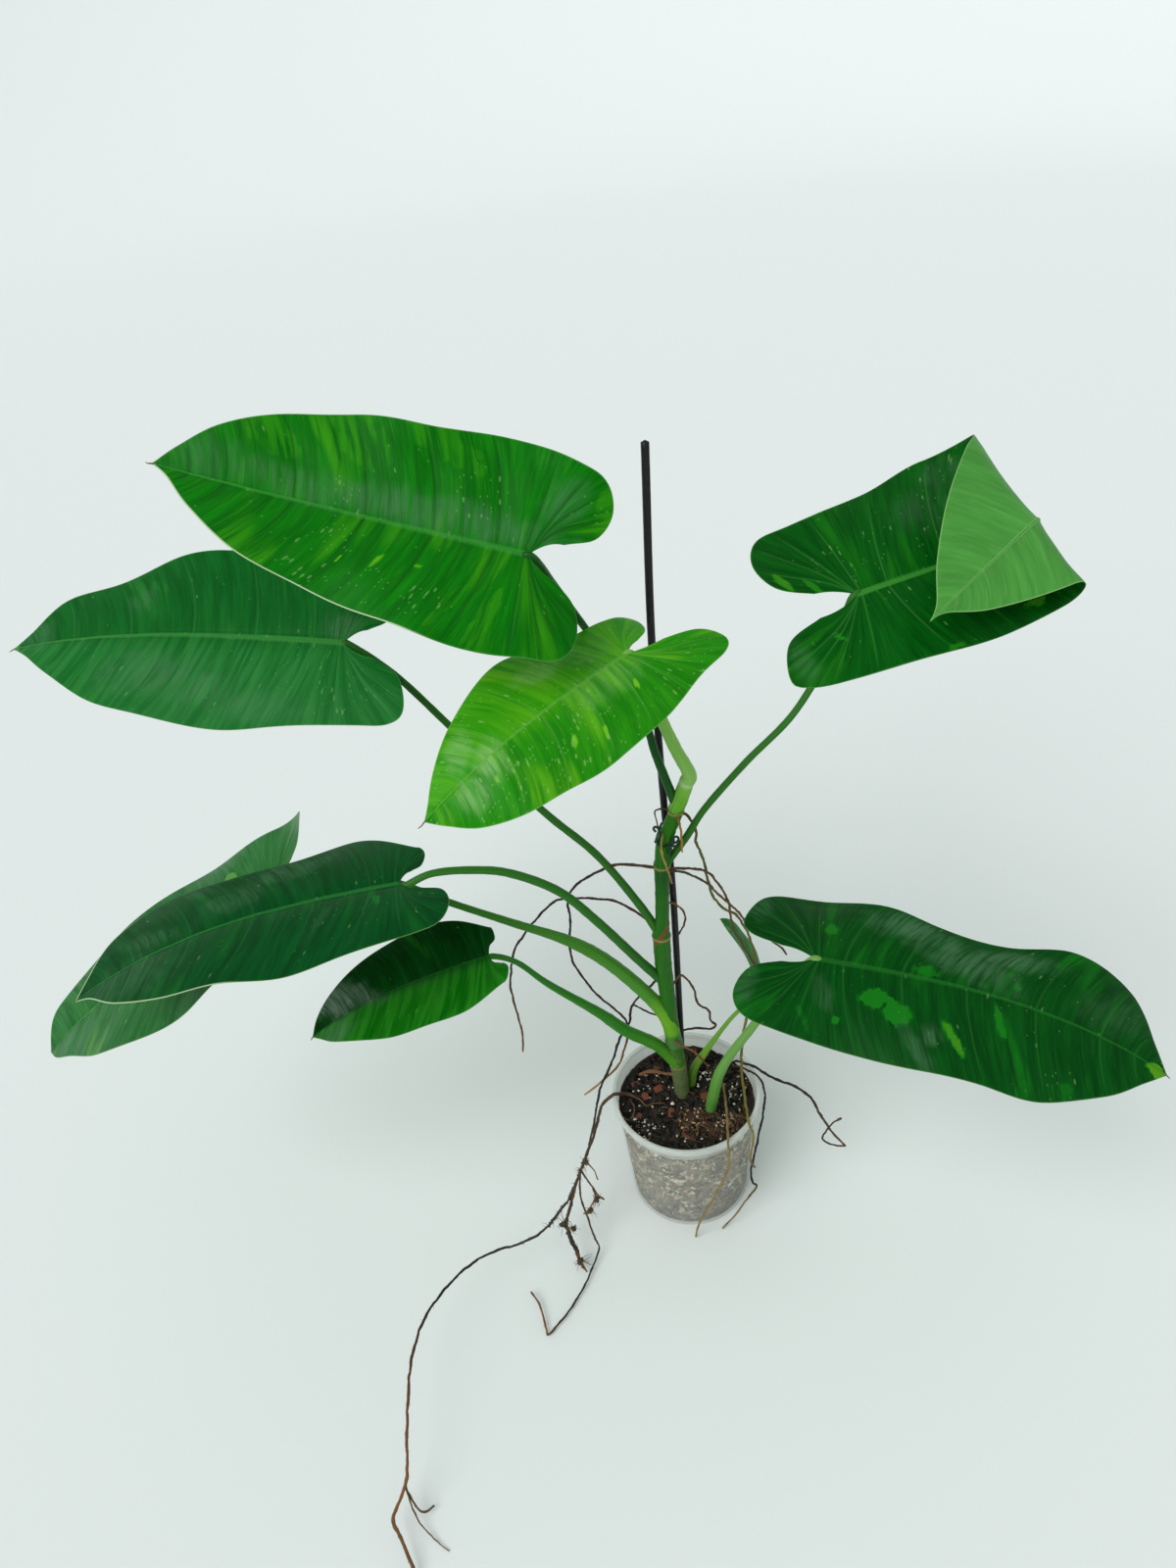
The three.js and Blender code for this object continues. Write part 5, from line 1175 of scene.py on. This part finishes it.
def hairs(count, low, high, reach, seed):
    """Fine curved rootlets that stand out from the trailing root between two shares of its length."""
    draw = np.random.default_rng(seed)
    places, ahead = strand_places(ROOTS["root_trailing"][0][1], count, low, high, draw)
    parts = []
    for place, way in zip(places, ahead):
        out = unit(np.cross(way, unit(draw.normal(size=3))))
        bend = draw.normal(size=3) * 0.3
        long = draw.uniform(0.4, 1) * reach
        line = [place, place + out * long * 0.5 + bend * 0.5, place + (out + 0.4 * way) * long + bend * 2]
        line = np.maximum(line, (-math.inf, -math.inf, LOWEST_HAIR))
        parts.append(tube(line, [0.22, 0.16, 0.09], 5, 1.2, seed=int(draw.integers(1e6))))
    return parts


# Pot and soil

POT_HEIGHT = 116
POT_BASE_RADIUS = 49.5
POT_RIM_RADIUS = 60
POT_WALL_TOP_RADIUS = 57.6
POT_WALL = 1.2
POT_FLOOR = 1.6
POT_RIM_DEPTH = 6
WALL_TOP = POT_HEIGHT - POT_RIM_DEPTH
DRAIN_RADIUS = 4.5
DRAIN_RING_RADIUS = 29
SOIL_LEVEL = 104
SOIL_BUMP = 1.6
POT_SIDES = 144
MIDDLE_RADIUS = 54
WALL_START = 1.2


def inner_wall(z):
    """The radius of the pot's inner wall at a height."""
    share = (z - WALL_START) / (WALL_TOP - WALL_START)
    return POT_BASE_RADIUS + share * (POT_WALL_TOP_RADIUS - POT_BASE_RADIUS) - POT_WALL


def lathe(profile, sides):
    """Quads of a profile of (radius, height) turned round the Z axis, and their corner UVs."""
    profile = np.array(profile, float)
    turn = np.linspace(0, 2 * math.pi, sides, endpoint=False)
    shape = np.stack([profile[:, :1] * np.cos(turn), profile[:, :1] * np.sin(turn),
                      profile[:, 1:] + 0 * turn], -1).reshape(-1, 3)
    quads, row, col = ring_quads(len(profile) - 1, sides)
    walked = np.concatenate([[0], np.cumsum(np.linalg.norm(np.diff(profile, axis=0), axis=1))])
    facet = 2 * math.pi * MIDDLE_RADIUS / sides
    uv = np.stack([np.stack([walked[row + i], (col + j) * facet], -1)
                   for i, j in ((0, 0), (0, 1), (1, 1), (1, 0))], -2).reshape(-1, 4, 2)
    return shape, quads, uv


def pot_plastic(name, colour, alpha, rough=0.22):
    """Milky clear plastic: a plain see-through share, so it looks alike from either side."""
    s = Shading(name)
    cloudy = s.noise(s.solid_place(9), 3, 0.55)
    s.bump(cloudy, 0.3, 0.5)
    tone = s.mix(s.ramp(cloudy, 0.3, 0.75), colour, tuple(0.88 * c for c in colour))
    return s.finish(tone, rough, 0.5, Alpha=alpha)


def make_pot():
    """The pot in three looks: a thin clear wall and floor, a thicker, whiter rim, and a lip inside."""
    wall = [(0, 0.25), (DRAIN_RING_RADIUS - DRAIN_RADIUS, 0), (POT_BASE_RADIUS - 1.6, 0),
            (POT_BASE_RADIUS - 0.6, 0.35), (POT_BASE_RADIUS, WALL_START)]
    levels = np.linspace(WALL_START, WALL_TOP, 24)[1:]
    wall += [(inner_wall(z) + POT_WALL, z) for z in levels]
    out, inner = POT_RIM_RADIUS, inner_wall(WALL_TOP)
    rim = [(out - 0.7, WALL_TOP), (out - 0.2, WALL_TOP + 0.2), (out, WALL_TOP + 0.7), (out, POT_HEIGHT - 0.9),
           (out - 0.25, POT_HEIGHT - 0.25), (out - 0.8, POT_HEIGHT), (POT_WALL_TOP_RADIUS + 0.2, POT_HEIGHT),
           (inner + 0.7, POT_HEIGHT - 0.4), (inner + 0.4, POT_HEIGHT - 1.2), (inner, WALL_TOP)]
    inside = [(inner_wall(z), z) for z in levels[-2:0:-1]]
    inside += [(inner_wall(3), 3), (inner_wall(2) - 1, POT_FLOOR), (0, POT_FLOOR)]
    profile = wall + rim + inside
    shape, quads, uv = lathe(profile, POT_SIDES)
    band = np.repeat(np.arange(len(profile) - 1), POT_SIDES)
    after_rim = len(wall) + len(rim) - 1
    which = ((band >= len(wall) - 1) & (band < after_rim)) * 1
    which = np.where((band >= after_rim) & (shape[quads[:, 0], 2] > SOIL_LEVEL), 2, which)
    materials = [pot_plastic("pot_clear", (0.62, 0.62, 0.56), 0.16, 0.2),
                 pot_plastic("pot_rim_white", (0.74, 0.77, 0.73), 0.6, 0.28),
                 pot_plastic("pot_lip", (0.78, 0.78, 0.73), 0.55, 0.3)]
    piece("pot_shell", shape, quads, materials, ("pot",), uv=uv, which=which)


def soil_top(x, y):
    """The height of the mix, the same as the solid's."""
    ripple = np.sin(x * 0.19 + 1.1) * np.cos(y * 0.23 - 0.6) + 0.6 * np.sin(x * 0.37 - y * 0.31)
    edge = np.hypot(x, y) / inner_wall(SOIL_LEVEL)
    return SOIL_LEVEL + SOIL_BUMP * ripple * (1 - 0.5 * edge) + 1.5 * (1 - edge)


WALL_COLOURS = [(0.0, (0.015, 0.013, 0.01)), (0.2, (0.09, 0.08, 0.065)), (0.34, (0.3, 0.28, 0.2)),
                (0.48, (0.04, 0.035, 0.03)), (0.62, (0.33, 0.2, 0.15)), (0.72, (0.2, 0.19, 0.15)),
                (0.84, (0.5, 0.45, 0.22)), (0.94, (0.85, 0.82, 0.68))]
MIX_COLOURS = [(0.3, (0.003, 0.002, 0.002)), (0.6, (0.01, 0.007, 0.005)), (0.8, (0.05, 0.035, 0.02))]


def soil_surface():
    """Dark moist mix at the top; at the wall, pressed chips of several browns with pale grains."""
    s = Shading("soil_mix_dark")
    fine = s.noise(s.solid_place(1.3), 4, 0.65)
    broad = s.noise(s.solid_place(24), 2, 0.5)
    wall = []
    for size in (6, 2.8):
        chips = s.node("TexVoronoi", {"Vector": s.solid_place(size), "Scale": 1.0}, output="Color")
        wall.append(s.stops(s.node("SeparateColor", {"Color": chips}), WALL_COLOURS))
    wall = s.mix(s.ramp(s.noise(s.solid_place(4), 2, 0.6), 0.46, 0.54), *wall)
    wall = s.over(wall, (0.05, 0.045, 0.035), 0.4, s.ramp(fine, 0.55, 0.3))
    pink = s.noise(s.solid_place(17), 1, 0.5)
    wall = s.over(wall, (0.3, 0.19, 0.16), 0.35, s.ramp(pink, 0.5, 0.65))
    wall = s.over(wall, (0.3, 0.29, 0.22), 0.35, s.ramp(broad, 0.42, 0.7))
    colour = s.mix(s.layer("wall"), s.stops(fine, MIX_COLOURS), wall)
    low = s.times(s.ramp(s.layer("height"), 50, 5), 0.5)
    colour = s.over(colour, (0.06, 0.07, 0.075), s.layer("wall"), low)
    s.bump(fine, 1.0, 0.8)
    return s.finish(colour, s.plus(s.times(fine, 0.3), 0.55), 0.35)


SOIL_SIDES = 200
TOP_ROWS = 66
WALL_ROWS = 62


def make_soil():
    """One closed lumpy body: a rough top, a wall of pressed chips with hollows between, and a flat foot."""
    reach = inner_wall(SOIL_LEVEL) - 0.1
    levels = np.linspace(SOIL_LEVEL - 1.5, POT_FLOOR + 2.4, WALL_ROWS)
    profile = [(r, SOIL_LEVEL) for r in np.linspace(0, reach - 0.8, TOP_ROWS)]
    profile += [(inner_wall(z) - 0.1, z) for z in levels]
    profile += [(inner_wall(POT_FLOOR) - 1.8, POT_FLOOR + 0.4), (0, POT_FLOOR + 0.4)]
    shape, quads, uv = lathe(profile, SOIL_SIDES)
    row = np.repeat(np.arange(len(profile)), SOIL_SIDES)
    top, side = row < TOP_ROWS, (row >= TOP_ROWS) & (row < TOP_ROWS + WALL_ROWS)
    x, y = shape[:, 0], shape[:, 1]
    rough = 1.5 * cloud(shape, 7, 31) + 1.1 * cloud(shape, 3, 32) + 0.5 * cloud(shape, 1.5, 33)
    shape[:, 2] = np.where(top, soil_top(x, y) - 1.2 + rough, shape[:, 2])
    hollow = 2.6 * smoothstep(0.1, 0.75, 0.6 * cloud(shape, 7, 34) + 0.5 * cloud(shape, 3, 35))
    hollow = hollow + 0.15 + 0.12 * cloud(shape, 1.6, 36)
    shrink = np.where(side, 1 - hollow / np.maximum(np.hypot(x, y), 1), 1)
    shape[:, 0], shape[:, 1] = x * shrink, y * shrink
    quads = quads[:, ::-1]
    wall = smoothstep(TOP_ROWS - 2, TOP_ROWS + 2, row)
    piece("soil_mix", shape, quads, [soil_surface()], ("soil",), uv=uv[:, ::-1],
          layers={"wall": wall, "height": shape[:, 2]})


def ball():
    """Points and triangles of a rough ball, each triangle with its last corner repeated."""
    made = bmesh.new()
    bmesh.ops.create_icosphere(made, subdivisions=1, radius=1)
    made.verts.index_update()
    points = np.array([v.co[:] for v in made.verts])
    corners = np.array([[v.index for v in f.verts] for f in made.faces])
    made.free()
    return points, corners[:, [0, 1, 2, 2]]


def scattered(places, sizes, tilt, seed, rough=0.3, corner=1.0):
    """Rough lumps at places, of half sizes (x, y, z), turned at random and tilted up to tilt degrees.
    Returns points, quads, UVs and a random tint for each point."""
    draw = np.random.default_rng(seed)
    points, quads = ball()
    count = len(places)
    boxy = np.sign(points) * np.abs(points) ** corner
    shapes = boxy[None] * (1 + rough * draw.uniform(-1, 1, (count, len(points), 1)))
    shapes = shapes * np.asarray(sizes)[:, None]
    spin = draw.uniform(0, 2 * math.pi, count)
    lean, toward = np.radians(draw.uniform(-tilt, tilt, count)), draw.uniform(0, 2 * math.pi, count)

    def about(first, second, angle, given):
        made = given.copy()
        cos, sin = np.cos(angle)[:, None], np.sin(angle)[:, None]
        made[..., first] = given[..., first] * cos - given[..., second] * sin
        made[..., second] = given[..., first] * sin + given[..., second] * cos
        return made

    shapes = about(0, 1, toward, about(0, 2, lean, about(0, 1, spin, shapes)))
    shapes = shapes + np.asarray(places)[:, None]
    index = quads[None] + (np.arange(count) * len(points))[:, None, None]
    tint = np.repeat(draw.uniform(0, 1, count), len(points))
    flat_uv = np.zeros((count * len(quads), 4, 2))
    return shapes.reshape(-1, 3), index.reshape(-1, 4), flat_uv, tint


def tinted(name, stops, rough=0.7, size=1.2, strength=0.6, lighten=0.5):
    """A matt material whose colour each lump picks from the stops, with paler grain."""
    s = Shading(name)
    fine = s.noise(s.solid_place(size), 3, 0.65)
    colour = s.stops(s.layer("tint"), stops)
    paler = s.mix(0.6, colour, (0.3, 0.24, 0.16))
    colour = s.over(colour, paler, lighten, s.ramp(fine, 0.4, 0.75))
    s.bump(fine, 0.5, strength)
    return s.finish(colour, rough, 0.3)


SOIL_REACH = 53.5


def on_soil(count, draw, reach=54.0, lift=0.0, middle=(0, 0)):
    """Random places on the mix, as dense everywhere within reach of a middle."""
    radius, turn = reach * np.sqrt(draw.uniform(0, 1, count)), draw.uniform(0, 2 * math.pi, count)
    x, y = middle[0] + radius * np.cos(turn), middle[1] + radius * np.sin(turn)
    inside = np.minimum(1, SOIL_REACH / np.maximum(np.hypot(x, y), 1))
    return np.stack([x * inside, y * inside, soil_top(x * inside, y * inside) + lift], -1)


def on_wall(count, draw, inset):
    """Random places on the pot's inner wall below the top of the mix."""
    z, turn = draw.uniform(6, SOIL_LEVEL - 4, count), draw.uniform(0, 2 * math.pi, count)
    radius = inner_wall(z) - inset
    return np.stack([radius * np.cos(turn), radius * np.sin(turn), z], -1)


BARK_COLOURS = [(0.0, (0.002, 0.0015, 0.001)), (0.7, (0.007, 0.0045, 0.0035)), (0.82, (0.04, 0.016, 0.008)),
                (0.9, (0.09, 0.035, 0.015)), (0.94, (0.14, 0.035, 0.016)), (0.97, (0.28, 0.15, 0.06)),
                (1.0, (0.6, 0.5, 0.36))]
LARGE_CHIPS = 150
SMALL_CHIPS = 900
EDGE_CHIPS = 110
RED_CHIPS = [(-40, 19), (-22, 10), (14, -1), (-33, 4), (-14, -14)]
BARK_STRIP = [(-36, 27), (-29, 29), (-22, 28), (-14, 26), (-8, 23)]


def make_bark():
    """Chips in three sizes, a ragged ring of them at the edge, a curved strip, and coir crumbs."""
    draw = np.random.default_rng(41)
    places = on_soil(LARGE_CHIPS, draw, 48, 0.3)
    sizes = draw.uniform((2.4, 1.6, 0.7), (6, 3.4, 1.5), (LARGE_CHIPS, 3))
    large = scattered(places, sizes, 38, 42, 0.28, 0.55)
    places = on_soil(SMALL_CHIPS, draw, lift=0.1)
    sizes = draw.uniform((0.6, 0.5, 0.3), (1.9, 1.3, 0.9), (SMALL_CHIPS, 3))
    small = scattered(places, sizes, 60, 43, 0.32, 0.7)
    places = np.array([(x, y, soil_top(x, y) + 1.6) for x, y in RED_CHIPS])
    sizes = draw.uniform((3.5, 2.6, 1.2), (5.5, 3.6, 1.6), (len(places), 3))
    red = scattered(places, sizes, 20, 44, 0.25, 0.6)
    red = (*red[:3], np.full(len(red[3]), 0.94))
    line = [(x, y, soil_top(x, y) + 2.2) for x, y in BARK_STRIP]
    strip = tube(line, [1.5, 1.8, 1.6, 1.4], 8, 1.5, wobble=0.2, seed=45, oval=0.45, start=(0, 1, 0))
    strip = (*strip[:3], np.full(len(strip[3]), 0.955))
    places = [on_soil(110, draw, 12, 1.2, (2, -24)), on_soil(90, draw, 9, 1.2, (24, -34)),
              on_soil(40, draw, 8, 1, (36, -28))]
    places = np.vstack(places)
    coir = scattered(places, draw.uniform((0.5, 0.5, 0.3), (1.7, 1.2, 0.9), places.shape), 60, 46, 0.33, 0.7)
    coir = (*coir[:3], 0.8 + 0.2 * coir[3])
    turn, out = draw.uniform(0, 2 * math.pi, EDGE_CHIPS), draw.uniform(47, 51, EDGE_CHIPS)
    places = np.stack([out * np.cos(turn), out * np.sin(turn)], -1)
    places = np.column_stack([places, soil_top(*places.T) + draw.uniform(0.3, 2, EDGE_CHIPS)])
    edge = scattered(places, draw.uniform((1.2, 0.9, 0.6), (3, 2.2, 1.6), places.shape), 70, 47, 0.3, 0.6)
    large, small, edge = ((*made[:3], 0.92 * made[3]) for made in (large, small, edge))
    parts = [large, small, edge, red, strip, coir]
    material = tinted("bark", BARK_COLOURS, lighten=0.18)
    grown("bark_chips", parts, material, (), "tint", flat=True)


WHITE_GRAINS = [(20, -31), (24, -32), (-36, -20), (-44, -17), (-12, -6), (11, 8), (17, 21), (14, 17),
                (-47, -8)]
WALL_GRAINS = 150
PERLITE_COLOURS = [(0.0, (0.4, 0.37, 0.26)), (0.4, (0.62, 0.6, 0.5)), (1.0, (0.8, 0.79, 0.73))]


def make_perlite():
    """White grains strewn on the mix and pressed against the wall, with the larger ones at listed places."""
    draw = np.random.default_rng(51)
    places = [on_soil(120, draw, 52, 0.8), on_soil(60, draw, 20, 0.8, (34, 8)),
              on_soil(50, draw, 11, 0.8, (-38, -26))]
    sizes = [draw.uniform(0.35, 1.2, (sum(map(len, places)), 1))]
    sizes.append(draw.uniform(1.1, 1.7, (len(WHITE_GRAINS), 1)))
    places.append([(x, y, soil_top(x, y) + 1.8) for x, y in WHITE_GRAINS])
    top = scattered(np.vstack(places), np.vstack(sizes) * (1, 0.8, 0.65), 90, 52, 0.33, 0.8)
    places = on_wall(WALL_GRAINS, draw, 1.6)
    wall = scattered(places, draw.uniform(0.5, 1.4, (WALL_GRAINS, 1)) * (1, 0.8, 0.8), 90, 53, 0.3, 0.8)
    material = tinted("perlite", PERLITE_COLOURS, 0.85, 0.8, 0.8)
    grown("perlite_grains", [top, wall], material, (), "tint", flat=True)


COIR_COLOURS = [(0.0, (0.05, 0.03, 0.014)), (0.5, (0.13, 0.08, 0.035)), (1.0, (0.26, 0.18, 0.09))]
CLOD_COLOURS = [(0.0, (0.008, 0.007, 0.006)), (0.6, (0.03, 0.02, 0.013)), (1.0, (0.11, 0.07, 0.035))]
# Clumps of mix held by the trailing root's side strands: middle, reach and number of lumps
CLUMPS = [((-111, -54, 31), 5, 70), ((-104, -57, 27), 3.5, 35), ((-100, -75, 9), 4.5, 60),
          ((-82, -46, 46), 3.5, 36), ((-89, -48, 35), 3, 24), ((-88, -28, 74), 2.5, 20)]


def tuft(middle, reach, count, draw):
    """Fine rootlets that stand out of a clump in all directions."""
    parts = []
    for _ in range(count):
        out = unit(draw.normal(size=3)) * reach * draw.uniform(0.6, 1)
        halfway = middle + 0.6 * out + draw.normal(size=3) * 0.8
        line = [middle, halfway, middle + out + draw.normal(size=3) * 1.6]
        line = np.maximum(line, (-math.inf, -math.inf, LOWEST_HAIR))
        parts.append(tube(line, [0.3, 0.22, 0.12], 5, 1.2, seed=int(draw.integers(1e6))))
    return parts


def make_fibres():
    """Curled threads on the mix, denser in three places, and rootlets out of the trailing root."""
    draw = np.random.default_rng(61)
    starts = [on_soil(50, draw, lift=1.0), on_soil(55, draw, 12, 1.6, (2, -22)),
              on_soil(40, draw, 10, 1.4, (22, -30)), on_soil(40, draw, 9, 1.4, (38, -30))]
    parts = []
    for place in np.vstack(starts):
        heading, long = draw.uniform(0, 2 * math.pi), draw.uniform(5, 17)
        line = [place]
        for _ in range(5):
            heading += draw.normal(0, 0.55)
            step = long / 5 * np.array([math.cos(heading), math.sin(heading), 0])
            there = line[-1] + step
            there *= (min(1, 54 / max(math.hypot(there[0], there[1]), 1)),) * 2 + (1,)
            there[2] = soil_top(there[0], there[1]) + abs(draw.normal(0.9, 0.9))
            line.append(there)
        made = tube(line, [0.16, draw.uniform(0.16, 0.3), 0.1], 5, 1.3, seed=int(draw.integers(1e6)))
        parts.append((*made[:3], np.full(len(made[0]), draw.uniform(0, 1))))
    rootlets = hairs(45, 0.12, 0.5, 3.0, 71) + hairs(45, 0.3, 0.44, 7.0, 73) + hairs(40, 0.62, 0.98, 2.5, 72)
    for middle, reach, _ in CLUMPS:
        rootlets += tuft(np.array(middle), 2.1 * reach, 14, draw)
    for part in rootlets:
        parts.append((*part[:3], np.full(len(part[0]), draw.uniform(0.3, 1))))
    grown("coir_fibres", parts, tinted("coir", COIR_COLOURS), (), "tint")


def make_clod():
    """Soil that clings to the trailing root and its thick side strand, and the clumps they hold."""
    draw = np.random.default_rng(81)
    parts = []
    for k, (strand, low, high, count) in enumerate(((0, 0.3, 0.43, 40), (2, 0.1, 0.95, 50))):
        places, _ = strand_places(ROOTS["root_trailing"][strand][1], count, low, high, draw)
        places = places + np.clip(draw.normal(0, 0.9, places.shape), -1.6, 1.6)
        parts.append(scattered(places, draw.uniform(0.4, 1.5, (count, 3)), 90, 82 + k))
    for k, (middle, reach, count) in enumerate(CLUMPS):
        places = [np.array(middle, float)]
        while len(places) < count:
            there = places[draw.integers(len(places))] + 0.8 * unit(draw.normal(size=3))
            if np.linalg.norm(there - middle) < reach and there[2] > 2:
                places.append(there)
        parts.append(scattered(places, draw.uniform(0.6, 1.9, (count, 3)), 90, 90 + k))
    grown("root_clod", parts, tinted("clod", CLOD_COLOURS), (), "tint", flat=True)


make_pot()
make_soil()
make_bark()
make_perlite()
make_fibres()
make_clod()
